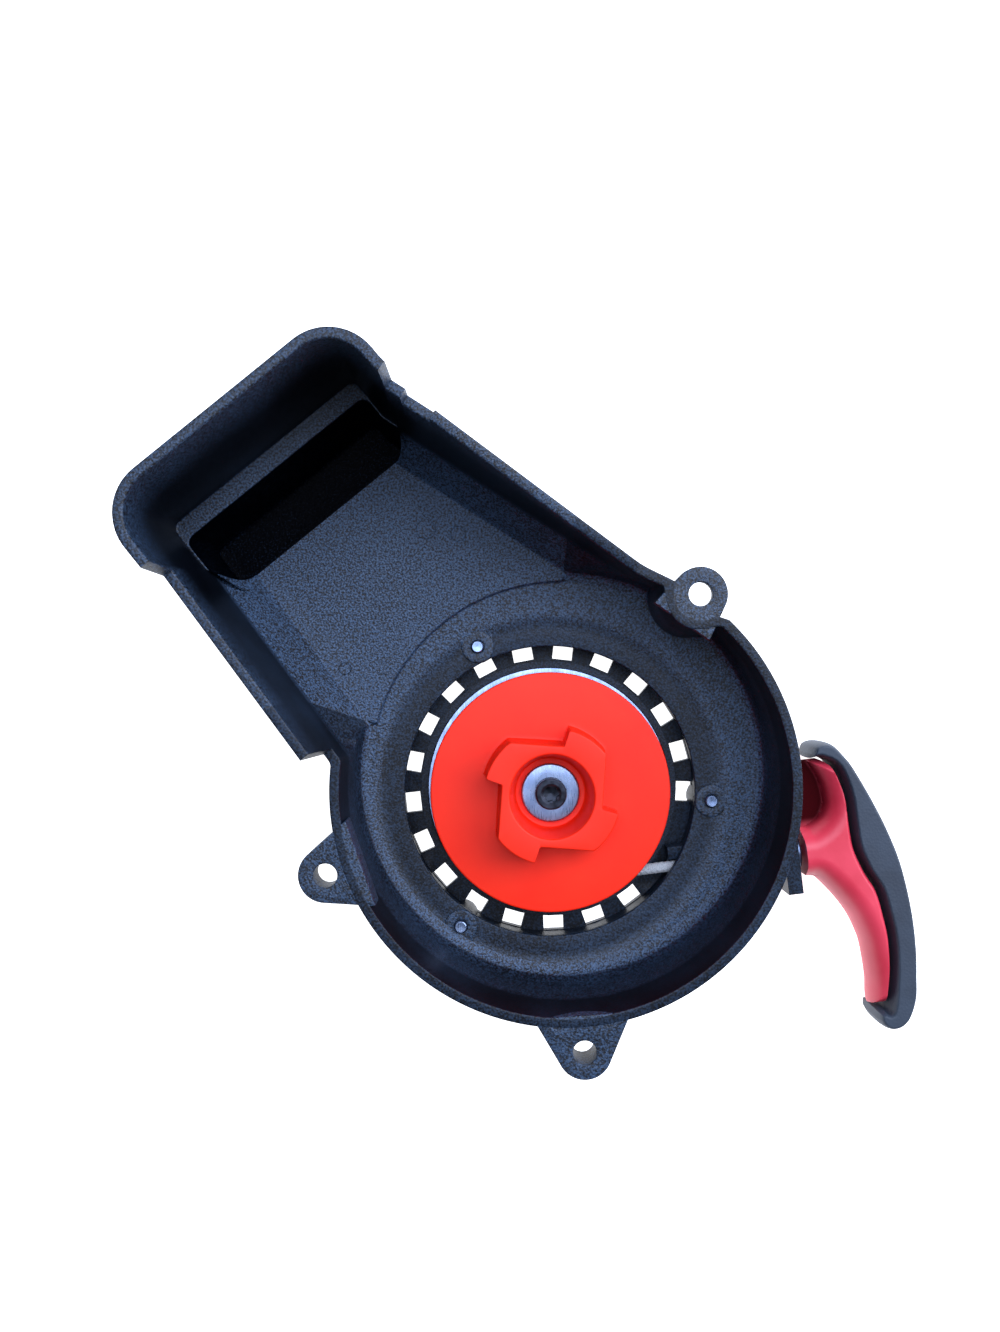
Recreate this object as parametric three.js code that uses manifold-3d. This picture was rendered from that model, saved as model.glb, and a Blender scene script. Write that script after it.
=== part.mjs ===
// Recoil starter of a small two-stroke engine, millimetres, +Z towards the engine.
// The origin lies on the reel's axis, in the flat outer face of the recoil housing.

import * as THREE from 'three';
import { ConvexGeometry } from 'three/addons/geometries/ConvexGeometry.js';
import { mergeVertices } from 'three/addons/utils/BufferGeometryUtils.js';
import Module from 'manifold-3d';

const wasm = await Module();
wasm.setup();

// ---------------------------------------------------------------- driving dimensions

const WALL = 2.5; // moulded wall of the shroud and the housing
const TOUCH = 0.05; // gap between faces that bear on each other
const FIT = 0.1; // radial clearance of a screw or pin in its hole
const RUN = 0.35; // gap between faces that turn past each other
const THROUGH = 1; // how far a cutting tool runs past the faces it cuts

// levels along the reel's axis
const MATING_Z = 12.5; // shroud's back on the housing's flange
const FLANGE_Z = 40; // face of the shroud's rim and ears, on the engine

// recoil housing
const HOUSING_R = 43;
const HOUSING_FLOOR = 2.5;
const HOUSING_FLANGE = 2.2; // how far the flange stands out from the wall
const HOUSING_FLANGE_THICK = 2.5;
const VENT_COUNT = 21;
const VENT_EDGE = 2.8; // from the vents' outer ends to the housing's outside
const VENT_LENGTH = 4.3;
const VENT_WIDTH = 5.6;
const VENT_FIRST_ANGLE = -2;
const VENTS_UNDER_OUTLET = [1, 2]; // places in the ring where the outlet leaves none
const FACE_GROOVE_R = 27;
const FACE_GROOVE_WIDTH = 3;
const FACE_GROOVE_DEPTH = 0.8;

// screws that fix the housing to the shroud, and their bosses
const FIXING_OUTSET = 0.7; // from the housing's outside to the fixings' circle
const FIXING_ANGLES = [116.6, 236.6, 356.6];
const FIXING_R = 1.7;
const FIXING_HEAD_R = 3;
const FIXING_HEAD_HEIGHT = 2.2;
const FIXING_HEAD_EDGE = 0.6; // chamfer of a screw's head and tip
const FIXING_DRIVE_R = 1.2;
const FIXING_DRIVE_DEPTH = 0.8;
const FIXING_TIP = 1.4; // how far a tip stands above the shroud's pad
const BOSS_WALL = 1.4;
const BOSS_SEAT_Z = 7;

// spring well, cover and spring
const WELL_R = 32;
const WELL_WALL = 1.7;
const SPRING_HEIGHT = 3.6;
const SPRING_THICK = 0.6;
const SPRING_TURNS = 6;
const SPRING_ROOM = 0.5; // over the spring, under its cover
const SPRING_OFF_BOSS = 0.6; // from the reel's boss to the spring's first turn
const COVER_R = 33.4;
const COVER_THICK = 0.7;
const COVER_OFF_BOSS = 1; // from the reel's boss to the cover's bore

// post, sleeve, insert and centre screw
const POST_R = 5.2;
const SLEEVE_WALL = 1.35;
const SLEEVE_OVER_POST = 0.2; // how far the sleeve stands above the post
const SLEEVE_BELOW_FACE = 0.5; // from the sleeve's top to the reel's face
const THRUST_THICK = 0.6;
const THRUST_WIDTH = 2.6;
const INSERT_WALL = 1.1;
const INSERT_LENGTH = 11.5;
const SCREW_R = 2.5;
const SCREW_LENGTH = 11;
const SCREW_HEAD_R = 4.15;
const SCREW_HEAD_HEIGHT = 4.2;
const SCREW_HEAD_EDGE = 0.4;
const SOCKET_R = 2.3;
const SOCKET_DEPTH = 2.6;
const RETAINER_OVERLAP = 1.2; // how far the washer reaches past the sleeve
const RETAINER_THICK = 1.2;

// reel
const REEL_R = 32.2;
const REEL_FACE_Z = 18.5;
const REEL_FLANGE_THICK = 1.6;
const REEL_LOWER_R = 30.5;
const REEL_LOWER_THICK = 1.1;
const REEL_CORE_R = 20;
const REEL_CORE_WALL = 2.2;
const REEL_BOSS_WALL = 2.8;
const REEL_BORE_FIT = 0.2;
const HUB_TOP_Z = 30;
const HUB_SEAT_MARGIN = 1.6; // from the retaining washer to the hub's bore at its seat
const HUB_BORE_TAPER = 1.6;
const DOG_COUNT = 4;
const DOG_ROOT_WALL = 2.4; // from the hub's bore to the foot of a dog's face
const DOG_HEIGHT = 4.4;
const DOG_FIRST_ANGLE = 38;
const DOG_ARC = 37;

// rope
const ROPE_R = 1.5;
const ROPE_ANGLE = 7;
const ROPE_PULL_R = 25; // from the reel's axis to the rope's centre line
const WINDING_R = 26.4;
const ROPE_OFF_WINDING = 0.42; // from the winding to the start of the straight run
const ROPE_HOLE_FIT = 0.45;
const REEL_ROPE_HOLE_FIT = 0.2;
const KNOT_R = 2.7;

// rope outlet of the housing
const OUTLET_START = 30;
const OUTLET_REACH = 5.2; // how far the outlet's mouth stands outside the dish's rim
const OUTLET_WIDTH = 11;
const MOUTH_WIDTH = 21;
const MOUTH_HEIGHT = 13;
const MOUTH_THICK = 4;
const CHANNEL_SIDE = 0.8; // beside the rope in the outlet's channel
const EYELET_WALL = 1.3;
const EYELET_LIP_WIDTH = 1.55;
const EYELET_LIP = 1.2;

// handle
const NECK_GAP = 0.6; // handle's neck off the eyelet
const NECK_R = 6.4;
const NECK_LENGTH = 9;
const NECK_EDGE = 0.8;
const CORE_THICK = 16.8;
const GRIP_THICK = 18.8;
const SEAM = 0.3; // gap between the handle's core and its grip
const KNOT_POCKET_R = 4.2;
const KNOT_POCKET_LENGTH = 5.2;
const KNOT_WASHER_R = 3.9;
const KNOT_WASHER_THICK = 1;

// shroud's dish: circles of its inner face at the rim and at the floor
const DISH_FLOOR_Z = 15.8;
const DISH_FLOOR_AT = { x: 3.2, y: 5 };
const DISH_RIM_AT = { x: 3, y: 2.5 };
const DISH_FLARE = 5.4; // how much wider the dish is at its rim than at its floor
const DISH_FLOOR_MARGIN = 4; // from the seat's edge to the foot of the dish's wall
const SEAT_MARGIN = 2.2; // from the housing's flange to the seat's edge
const SEAT_Z = 15;
const OPENING_COVER = 0.9; // how far the shroud covers the vents' outer ends
const PAD_R = 4.4;
const PAD_THICK = 0.6;

// shroud's duct: u runs outward along it, v across it
const DUCT_ANGLE = 129;
const DUCT_FLOOR_Z = 17;
const DUCT_BEND_Z = 26; // where the floor's chamfers meet the walls
const DUCT_RIM_Z = 65;
const DUCT_LEFT = [{ u: 45.8, v: -39.2 }, { u: 100.8, v: -36.8 }];
const DUCT_RIGHT = [{ u: 31.8, v: 56.6 }, { u: 103.2, v: 33 }];
const DRAFT = 2.6; // how far the duct's walls lean in from rim to bend
const RIGHT_DRAFT_SHARE = 1.1; // the right wall leans in this much more
const POCKET_DRAFT = 1;
const OVERLAP = 3; // how far the duct's cavities run into each other
const DUCT_MOUTH_LEFT = 9; // how far the duct's inside runs into the dish
const DUCT_MOUTH_RIGHT = 6;
const CHAMFER_LEFT = 7.7;
const CHAMFER_RIGHT = 6.2;
const NOTCH_START = 91.5;
const NOTCH_END = 98.6;
const NOTCH_DEPTH = 5;
const RAMP_END_DROP = 2; // the sloping rim's top below the level rim
const HOOD_RIM_Z = 78;
const HOOD_END = 119;
const HOOD_CORNER_R = 12.5;
const SHELF_Z = 33;
const SHELF_DEPTH = 6;
const POCKET_Z = 5;
const POCKET_START = 95;
const POCKET_CUT = 6;

// ears that bolt the shroud to the engine
const EAR_HOLE_R = 3;
const EAR_R = 6.9;
const EAR_PLACES = [
  { angle: 55.66, outset: 3.03, thick: 3 },
  { angle: 199.3, outset: 7.04, thick: 9 },
  { angle: -85.85, outset: 8.77, thick: 11 },
]; // round the dish's rim, and outward from it
const EAR_BOSS_R = 9; // bulge of the dish's wall round the first ear's hole
const EAR_BOSS_DRAFT = 1.5;

const ROUND = 56; // sides of a large circle
const SMALL_ROUND = 18; // sides of a small circle

// ---------------------------------------------------------------- levels worked out

const COVER_Z = HOUSING_FLOOR + SPRING_HEIGHT + SPRING_ROOM;
const REEL_Z = COVER_Z + TOUCH + COVER_THICK + RUN;
const GROOVE_Z = REEL_Z + REEL_LOWER_THICK;
const GROOVE_TOP_Z = REEL_FACE_Z - REEL_FLANGE_THICK;
const ROPE_Z = GROOVE_Z + ROPE_R + FIT;
const SLEEVE_R = POST_R + TOUCH + SLEEVE_WALL;
const REEL_BORE_R = SLEEVE_R + REEL_BORE_FIT;
const REEL_BOSS_R = REEL_BORE_R + REEL_BOSS_WALL;
const SLEEVE_TOP_Z = REEL_FACE_Z - SLEEVE_BELOW_FACE;
const POST_TOP_Z = SLEEVE_TOP_Z - SLEEVE_OVER_POST;
const HOLLOW_INNER_R = REEL_BOSS_R + WALL;
const HOLLOW_OUTER_R = REEL_CORE_R - REEL_CORE_WALL;
const RETAINER_R = SLEEVE_R + RETAINER_OVERLAP;
const HUB_SEAT_R = RETAINER_R + HUB_SEAT_MARGIN;
const HUB_BORE_R = HUB_SEAT_R + HUB_BORE_TAPER;
const DOG_ROOT_R = HUB_BORE_R + DOG_ROOT_WALL;
const DOG_OUTER_R = DOG_ROOT_R + DOG_HEIGHT;
const RETAINER_Z = SLEEVE_TOP_Z + TOUCH;
const SCREW_HEAD_Z = RETAINER_Z + RETAINER_THICK + TOUCH;
const INSERT_R = SCREW_R + FIT + INSERT_WALL;
const EYELET_BORE_R = ROPE_R + ROPE_HOLE_FIT;
const EYELET_R = EYELET_BORE_R + EYELET_WALL;
const ROPE_START = Math.sqrt((WINDING_R + ROPE_R + ROPE_OFF_WINDING) ** 2 - ROPE_PULL_R ** 2);
const HOUSING_FLANGE_R = HOUSING_R + HOUSING_FLANGE;
const VENT_OUTER_R = HOUSING_R - VENT_EDGE;
const VENT_INNER_R = VENT_OUTER_R - VENT_LENGTH;
const FIXING_CIRCLE_R = HOUSING_R + FIXING_OUTSET;
const OPENING_R = VENT_OUTER_R - OPENING_COVER;
const SEAT_R = HOUSING_FLANGE_R + SEAT_MARGIN;
const DISH_FLOOR = { ...DISH_FLOOR_AT, r: SEAT_R + DISH_FLOOR_MARGIN };
const DISH_RIM = { ...DISH_RIM_AT, r: DISH_FLOOR.r + DISH_FLARE };
const BOSS_R = FIXING_HEAD_R + FIT + BOSS_WALL;
const OUTLET_FACE = DISH_RIM.r + WALL + OUTLET_REACH; // along the rope's line
const NECK_FACE = OUTLET_FACE + EYELET_LIP + NECK_GAP;

// ---------------------------------------------------------------- helpers

const rad = THREE.MathUtils.degToRad;

function polar(radius, degrees) {
  return new THREE.Vector2(radius * Math.cos(rad(degrees)), radius * Math.sin(rad(degrees)));
}

// A closed three.js geometry as a solid that can be joined and cut.
function solid(geometry) {
  const bare = geometry.clone();
  for (const name of Object.keys(bare.attributes)) {
    if (name !== 'position') bare.deleteAttribute(name);
  }
  const merged = mergeVertices(bare, 1e-4);
  const mesh = new wasm.Mesh({
    numProp: 3,
    vertProperties: new Float32Array(merged.attributes.position.array),
    triVerts: new Uint32Array(merged.index.array),
  });
  return new wasm.Manifold(mesh);
}

function geometryOf(body) {
  const mesh = body.getMesh();
  const geometry = new THREE.BufferGeometry();
  geometry.setAttribute('position', new THREE.BufferAttribute(mesh.vertProperties, 3));
  geometry.setIndex(new THREE.BufferAttribute(mesh.triVerts, 1));
  geometry.computeVertexNormals();
  return geometry;
}

function union(bodies) {
  return bodies.reduce((whole, body) => whole.add(body));
}

// Outline extruded along Z between two levels.
function prism(shape, z0, z1, curveSegments = SMALL_ROUND) {
  const geometry = new THREE.ExtrudeGeometry(shape, { depth: z1 - z0, bevelEnabled: false, curveSegments });
  geometry.translate(0, 0, z0);
  return solid(geometry);
}

// Closed profile of [radius, z] corners turned round the Z axis.
function turned(profile, segments = ROUND) {
  const corners = profile.map(([radius, z]) => new THREE.Vector2(radius, z));
  if (THREE.ShapeUtils.area(corners) < 0) corners.reverse();
  const geometry = new THREE.LatheGeometry([...corners, corners[0]], segments);
  geometry.rotateX(Math.PI / 2);
  return solid(geometry);
}

function disc(radius, z0, z1, segments = ROUND, x = 0, y = 0) {
  const geometry = new THREE.CylinderGeometry(radius, radius, z1 - z0, segments);
  geometry.rotateX(Math.PI / 2);
  geometry.translate(x, y, (z0 + z1) / 2);
  return solid(geometry);
}

function ring(inner, outer, z0, z1, segments = ROUND) {
  return turned([[inner, z0], [outer, z0], [outer, z1], [inner, z1]], segments);
}

// Convex body round outlines that each lie at their own level: [[Vector2, ...], z] pairs.
function lofted(sections) {
  const points = [];
  for (const [outline, z] of sections) {
    for (const corner of outline) points.push(new THREE.Vector3(corner.x, corner.y, z));
  }
  return solid(new ConvexGeometry(points));
}

function circle(radius, x = 0, y = 0, segments = ROUND) {
  const points = [];
  for (let i = 0; i < segments; i += 1) {
    const corner = polar(radius, (360 * i) / segments);
    points.push(new THREE.Vector2(corner.x + x, corner.y + y));
  }
  return points;
}

// A point of the duct's own (u, v) frame in the part's frame.
function ductPoint(u, v) {
  const along = polar(u, DUCT_ANGLE);
  const across = polar(v, DUCT_ANGLE - 90);
  return new THREE.Vector2(along.x + across.x, along.y + across.y);
}

// A body built along +X with its axis at the origin, laid on the rope's line.
function onRope(body) {
  return body.rotate([0, 0, ROPE_ANGLE]).translate(ropePoint(0));
}

// Point on the rope's centre line, a distance t from where it leaves the reel.
function ropePoint(t) {
  const foot = polar(ROPE_PULL_R, ROPE_ANGLE - 90);
  const along = polar(t, ROPE_ANGLE);
  return [foot.x + along.x, foot.y + along.y, ROPE_Z];
}

// Closed profile of [x, radius] corners turned round the X axis.
function turnedAlongX(profile, segments = SMALL_ROUND) {
  return turned(profile.map(([x, radius]) => [radius, x]), segments).rotate([0, 90, 0]);
}

function box(x0, x1, y0, y1, z0, z1) {
  const geometry = new THREE.BoxGeometry(x1 - x0, y1 - y0, z1 - z0);
  geometry.translate((x0 + x1) / 2, (y0 + y1) / 2, (z0 + z1) / 2);
  return solid(geometry);
}

function makeMesh(name, body, { color, roughness, metalness }) {
  const material = new THREE.MeshStandardMaterial({ color, roughness, metalness });
  const mesh = new THREE.Mesh(geometryOf(body), material);
  mesh.name = name;
  return mesh;
}

const BLACK_PLASTIC = { color: 0x23262d, roughness: 0.55, metalness: 0 };
const RED_PLASTIC = { color: 0xe8402a, roughness: 0.4, metalness: 0 };
const HANDLE_RED = { color: 0xc9384a, roughness: 0.4, metalness: 0 };
const GRIP_RUBBER = { color: 0x17181b, roughness: 0.7, metalness: 0 };
const STEEL = { color: 0xaab4c4, roughness: 0.3, metalness: 1 };
const BLACK_STEEL = { color: 0x1b1c20, roughness: 0.45, metalness: 1 };
const SPRING_STEEL = { color: 0x4d535e, roughness: 0.35, metalness: 1 };
const BRASS = { color: 0xb8964a, roughness: 0.35, metalness: 1 };
const ROPE = { color: 0xb9bbbd, roughness: 0.9, metalness: 0 };

// ---------------------------------------------------------------- shroud

const DISH_STEPS = [
  { rise: 0, grow: 0 },
  { rise: 1.2, grow: 2.2 },
  { rise: 3.4, grow: 3.6 },
  { rise: 6.4, grow: 4.1 },
];

// Circles of the dish's inner face from floor to rim, each grown by offset.
function dishSections(offset, floorZ, topZ) {
  const sections = DISH_STEPS.map(({ rise, grow }) => {
    const share = rise / (FLANGE_Z - DISH_FLOOR_Z);
    const x = THREE.MathUtils.lerp(DISH_FLOOR.x, DISH_RIM.x, share);
    const y = THREE.MathUtils.lerp(DISH_FLOOR.y, DISH_RIM.y, share);
    return [circle(DISH_FLOOR.r + grow + offset, x, y), floorZ + rise];
  });
  sections.push([circle(DISH_RIM.r + offset, DISH_RIM.x, DISH_RIM.y), topZ]);
  return sections;
}

// Where a side line of the duct lies across it, at a distance u along it.
function sideAt([near, far], u) {
  return near.v + ((far.v - near.v) * (u - near.u)) / (far.u - near.u);
}

function leftAt(u, inset) {
  return sideAt(DUCT_LEFT, u) + inset;
}

function rightAt(u, inset) {
  return sideAt(DUCT_RIGHT, u) - inset * RIGHT_DRAFT_SHARE;
}

// Outline of the duct's straight stretch at one level, drawn in by insets.
function channelOutline(start, end, insetLeft, insetRight) {
  return [
    ductPoint(start.left, leftAt(start.left, insetLeft)),
    ductPoint(start.right, rightAt(start.right, insetRight)),
    ductPoint(end, rightAt(end, insetRight)),
    ductPoint(end, leftAt(end, insetLeft)),
  ];
}

// Outline across the duct's far end: far corners rounded, near corners cut.
function endOutline({ start, end, inset, round, cut = 0 }) {
  const left = leftAt(DUCT_LEFT[1].u, inset);
  const right = rightAt(DUCT_RIGHT[1].u, inset);
  const outline = [
    ductPoint(start, left + cut),
    ductPoint(start + cut, left),
    ductPoint(start, right - cut),
    ductPoint(start + cut, right),
  ];
  const steps = 5;
  for (let i = 0; i <= steps; i += 1) {
    const turn = rad((90 * i) / steps);
    const back = round * (1 - Math.cos(turn));
    const aside = round * (1 - Math.sin(turn));
    outline.push(ductPoint(end - back, right - aside));
    outline.push(ductPoint(end - back, left + aside));
  }
  return outline;
}

function ductOuter() {
  const start = { left: DUCT_LEFT[0].u, right: DUCT_RIGHT[0].u };
  const end = POCKET_START + WALL;
  const floorInset = DRAFT + CHAMFER_LEFT - WALL / 2;
  const channel = lofted([
    [channelOutline(start, end, floorInset, DRAFT + CHAMFER_RIGHT - WALL / 2), DUCT_FLOOR_Z - WALL],
    [channelOutline(start, end, DRAFT, DRAFT), DUCT_BEND_Z - WALL],
    [channelOutline(start, end, 0, 0), DUCT_RIM_Z],
  ]);
  const pocketEnd = HOOD_END - DRAFT - SHELF_DEPTH + WALL / 2;
  const pocketShape = { start: POCKET_START - WALL, end: pocketEnd, round: HOOD_CORNER_R, cut: POCKET_CUT };
  const pocket = lofted([
    [endOutline({ ...pocketShape, inset: DRAFT + POCKET_DRAFT }), POCKET_Z - WALL],
    [endOutline({ ...pocketShape, inset: DRAFT }), SHELF_Z],
  ]);
  const head = lofted([
    [
      endOutline({ start: POCKET_START, end: HOOD_END - DRAFT / 2, inset: DRAFT, round: HOOD_CORNER_R }),
      SHELF_Z - WALL,
    ],
    [endOutline({ start: POCKET_START, end: HOOD_END, inset: 0, round: HOOD_CORNER_R }), HOOD_RIM_Z],
  ]);
  return union([channel, pocket, head]);
}

// The duct's inside: it opens into the dish, stays inside the dish's floor, and overlaps itself.
function ductCavity() {
  const start = { left: DUCT_LEFT[0].u - DUCT_MOUTH_LEFT, right: DUCT_RIGHT[0].u - DUCT_MOUTH_RIGHT };
  const end = POCKET_START + OVERLAP;
  const top = HOOD_RIM_Z + THROUGH;
  const channel = lofted([
    [
      channelOutline(start, end, WALL + DRAFT + CHAMFER_LEFT, WALL + DRAFT + CHAMFER_RIGHT),
      DUCT_FLOOR_Z,
    ],
    [channelOutline(start, end, WALL + DRAFT, WALL + DRAFT), DUCT_BEND_Z],
    [channelOutline(start, end, WALL, WALL), top],
  ]);
  const shelfStart = HOOD_END - DRAFT - SHELF_DEPTH;
  const pocketShape = { start: POCKET_START, round: HOOD_CORNER_R - WALL, cut: POCKET_CUT };
  const pocketFloor = { end: shelfStart - POCKET_DRAFT, inset: WALL + DRAFT + POCKET_DRAFT };
  const pocket = lofted([
    [endOutline({ ...pocketShape, ...pocketFloor }), POCKET_Z],
    [endOutline({ ...pocketShape, end: shelfStart, inset: WALL + DRAFT }), SHELF_Z + THROUGH],
  ]);
  const headShape = { start: POCKET_START - OVERLAP, round: HOOD_CORNER_R - WALL };
  const head = lofted([
    [endOutline({ ...headShape, end: HOOD_END - WALL - DRAFT / 2, inset: WALL + DRAFT }), SHELF_Z],
    [endOutline({ ...headShape, end: HOOD_END - WALL, inset: WALL }), top],
  ]);
  return union([channel, pocket, head]);
}

// A block across one side of the duct, under an outline of [u, z] corners.
function sideBlock(corners, v0, v1) {
  const shape = new THREE.Shape(corners.map(([u, z]) => new THREE.Vector2(u, z)));
  const geometry = new THREE.ExtrudeGeometry(shape, { depth: v1 - v0, bevelEnabled: false });
  geometry.rotateX(Math.PI / 2);
  geometry.translate(0, -v0, 0);
  geometry.rotateZ(rad(DUCT_ANGLE));
  return solid(geometry);
}

// What is cut from above the duct's rims: the left rim is level, the right rim slopes
// down to the flange and has a notch beside the hood.
function aboveRims() {
  const top = HOOD_RIM_Z + THROUGH;
  const beyond = HOOD_END;
  const hoodLeft = DUCT_LEFT[1].u;
  const hoodRight = DUCT_RIGHT[1].u;
  const overLeft = [[0, DUCT_RIM_Z], [hoodLeft, DUCT_RIM_Z], [hoodLeft, top], [0, top]];
  const left = sideBlock(overLeft, -beyond, 0);
  const right = sideBlock(
    [
      [0, FLANGE_Z],
      [DUCT_RIGHT[0].u, FLANGE_Z],
      [NOTCH_START, DUCT_RIM_Z - RAMP_END_DROP],
      [NOTCH_START, DUCT_RIM_Z - NOTCH_DEPTH],
      [NOTCH_END, DUCT_RIM_Z - NOTCH_DEPTH],
      [NOTCH_END, DUCT_RIM_Z],
      [hoodRight, DUCT_RIM_Z],
      [hoodRight, top],
      [0, top],
    ],
    0,
    beyond,
  );
  return union([left, right]);
}

const EARS = EAR_PLACES.map(({ angle, outset, thick }) => {
  const { x, y } = polar(DISH_RIM.r + outset, angle);
  return { x: DISH_RIM.x + x, y: DISH_RIM.y + y, thick };
});

// An ear spreads towards the dish, the more so the thicker it is.
function ear({ x, y, thick }) {
  const towards = new THREE.Vector2(DISH_RIM.x - x, DISH_RIM.y - y).normalize();
  const across = new THREE.Vector2(-towards.y, towards.x);
  const root = EAR_R + WALL;
  const spread = EAR_R + thick / 2;
  const corner = (side) => new THREE.Vector2(
    x + towards.x * root + across.x * spread * side,
    y + towards.y * root + across.y * spread * side,
  );
  const outline = [...circle(EAR_R, x, y, SMALL_ROUND), corner(1), corner(-1)];
  return lofted([[outline, FLANGE_Z - thick], [outline, FLANGE_Z]]);
}

// The first ear's hole lies in the dish's wall, which bulges inward round it.
function earBoss({ x, y }) {
  return lofted([
    [circle(EAR_BOSS_R + EAR_BOSS_DRAFT, x, y, SMALL_ROUND * 2), DISH_FLOOR_Z - THROUGH],
    [circle(EAR_BOSS_R, x, y, SMALL_ROUND * 2), FLANGE_Z],
  ]);
}

function atFixings(make) {
  return union(FIXING_ANGLES.map((angle) => {
    const { x, y } = polar(FIXING_CIRCLE_R, angle);
    return make(x, y);
  }));
}

function fanShroud() {
  const dishOuter = lofted(dishSections(WALL, MATING_Z, FLANGE_Z));
  const dishCavity = lofted(dishSections(0, DISH_FLOOR_Z, FLANGE_Z + THROUGH));
  const seat = disc(SEAT_R, SEAT_Z, DISH_FLOOR_Z + THROUGH);
  const opening = disc(OPENING_R, MATING_Z - THROUGH, FLANGE_Z);
  const pads = atFixings((x, y) => (
    disc(PAD_R, SEAT_Z - WALL / 2, SEAT_Z + PAD_THICK, SMALL_ROUND, x, y)
  ));
  const fixingHoles = atFixings((x, y) => disc(FIXING_R + FIT, 0, FLANGE_Z, SMALL_ROUND, x, y));
  const earHoles = union(EARS.map(({ x, y }) => (
    disc(EAR_HOLE_R, 0, FLANGE_Z + THROUGH, SMALL_ROUND, x, y)
  )));
  const body = union([dishOuter, ductOuter(), ...EARS.map(ear)])
    .subtract(dishCavity)
    .subtract(ductCavity())
    .subtract(aboveRims())
    .add(earBoss(EARS[0]).intersect(dishOuter))
    .subtract(seat)
    .add(pads)
    .subtract(opening)
    .subtract(fixingHoles)
    .subtract(earHoles);
  return makeMesh('fan_shroud', body, BLACK_PLASTIC);
}

// ---------------------------------------------------------------- recoil housing

function vents() {
  const pitch = 360 / VENT_COUNT;
  const half = VENT_WIDTH / 2;
  const slots = [];
  for (let i = 0; i < VENT_COUNT; i += 1) {
    const slot = box(VENT_INNER_R, VENT_OUTER_R, -half, half, -THROUGH, HOUSING_FLOOR + THROUGH);
    const turn = VENT_FIRST_ANGLE - i * pitch;
    if (!VENTS_UNDER_OUTLET.includes(i)) slots.push(slot.rotate([0, 0, turn]));
  }
  return union(slots);
}

function outletBody() {
  const half = OUTLET_WIDTH / 2;
  const end = OUTLET_FACE - THROUGH;
  const neck = box(OUTLET_START, end, -half, half, -ROPE_R - WALL, MATING_Z - ROPE_Z);
  const mouth = box(
    OUTLET_FACE - MOUTH_THICK,
    OUTLET_FACE,
    -MOUTH_WIDTH / 2,
    MOUTH_WIDTH / 2,
    -MOUTH_HEIGHT / 2,
    MOUTH_HEIGHT / 2,
  );
  return onRope(neck.add(mouth));
}

function ropeChannel() {
  const half = ROPE_R + CHANNEL_SIDE;
  const slot = box(0, OUTLET_FACE - MOUTH_THICK, -half, half, -ROPE_R - FIT * 2, MATING_Z);
  const eye = turnedAlongX([
    [OUTLET_FACE - MOUTH_THICK - THROUGH, 0],
    [OUTLET_FACE + THROUGH, 0],
    [OUTLET_FACE + THROUGH, EYELET_R + FIT],
    [OUTLET_FACE - MOUTH_THICK - THROUGH, EYELET_R + FIT],
  ]);
  return onRope(slot.add(eye));
}

function recoilHousing() {
  const inner = HOUSING_R - WALL;
  const flangeZ = MATING_Z - TOUCH - HOUSING_FLANGE_THICK;
  const top = MATING_Z - TOUCH;
  const cup = turned([
    [0, 0],
    [HOUSING_R, 0],
    [HOUSING_R, flangeZ],
    [HOUSING_FLANGE_R, flangeZ],
    [HOUSING_FLANGE_R, top],
    [inner, top],
    [inner, HOUSING_FLOOR],
    [0, HOUSING_FLOOR],
  ]);
  const groove = ring(FACE_GROOVE_R, FACE_GROOVE_R + FACE_GROOVE_WIDTH, -THROUGH, FACE_GROOVE_DEPTH);
  const ledge = ring(WELL_R, COVER_R + FIT + WELL_WALL, HOUSING_FLOOR - THROUGH, COVER_Z);
  const lip = ring(COVER_R + FIT, COVER_R + FIT + WELL_WALL, COVER_Z - THROUGH, REEL_Z);
  const post = disc(POST_R, HOUSING_FLOOR - THROUGH, POST_TOP_Z, SMALL_ROUND * 2);
  const insertFoot = POST_TOP_Z - INSERT_LENGTH - THROUGH;
  const insertHole = disc(INSERT_R + FIT, insertFoot, POST_TOP_Z + THROUGH, SMALL_ROUND);
  const bosses = atFixings((x, y) => disc(BOSS_R, 0, top, SMALL_ROUND, x, y));
  const headRecesses = atFixings((x, y) => (
    disc(FIXING_HEAD_R + FIT, -THROUGH, BOSS_SEAT_Z, SMALL_ROUND, x, y)
  ));
  const fixingHoles = atFixings((x, y) => disc(FIXING_R + FIT, 0, MATING_Z, SMALL_ROUND, x, y));
  const reelRoom = disc(REEL_R + THROUGH * 2, REEL_Z, MATING_Z + FLANGE_Z);
  const outlet = outletBody().intersect(disc(HOUSING_R * 2, 0, MATING_Z + FLANGE_Z));
  const body = cup
    .subtract(groove)
    .subtract(vents())
    .add(ledge)
    .add(lip)
    .add(post)
    .subtract(insertHole)
    .add(bosses)
    .add(outlet.subtract(reelRoom))
    .subtract(headRecesses)
    .subtract(fixingHoles)
    .subtract(ropeChannel());
  return makeMesh('recoil_housing', body, BLACK_PLASTIC);
}

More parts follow.
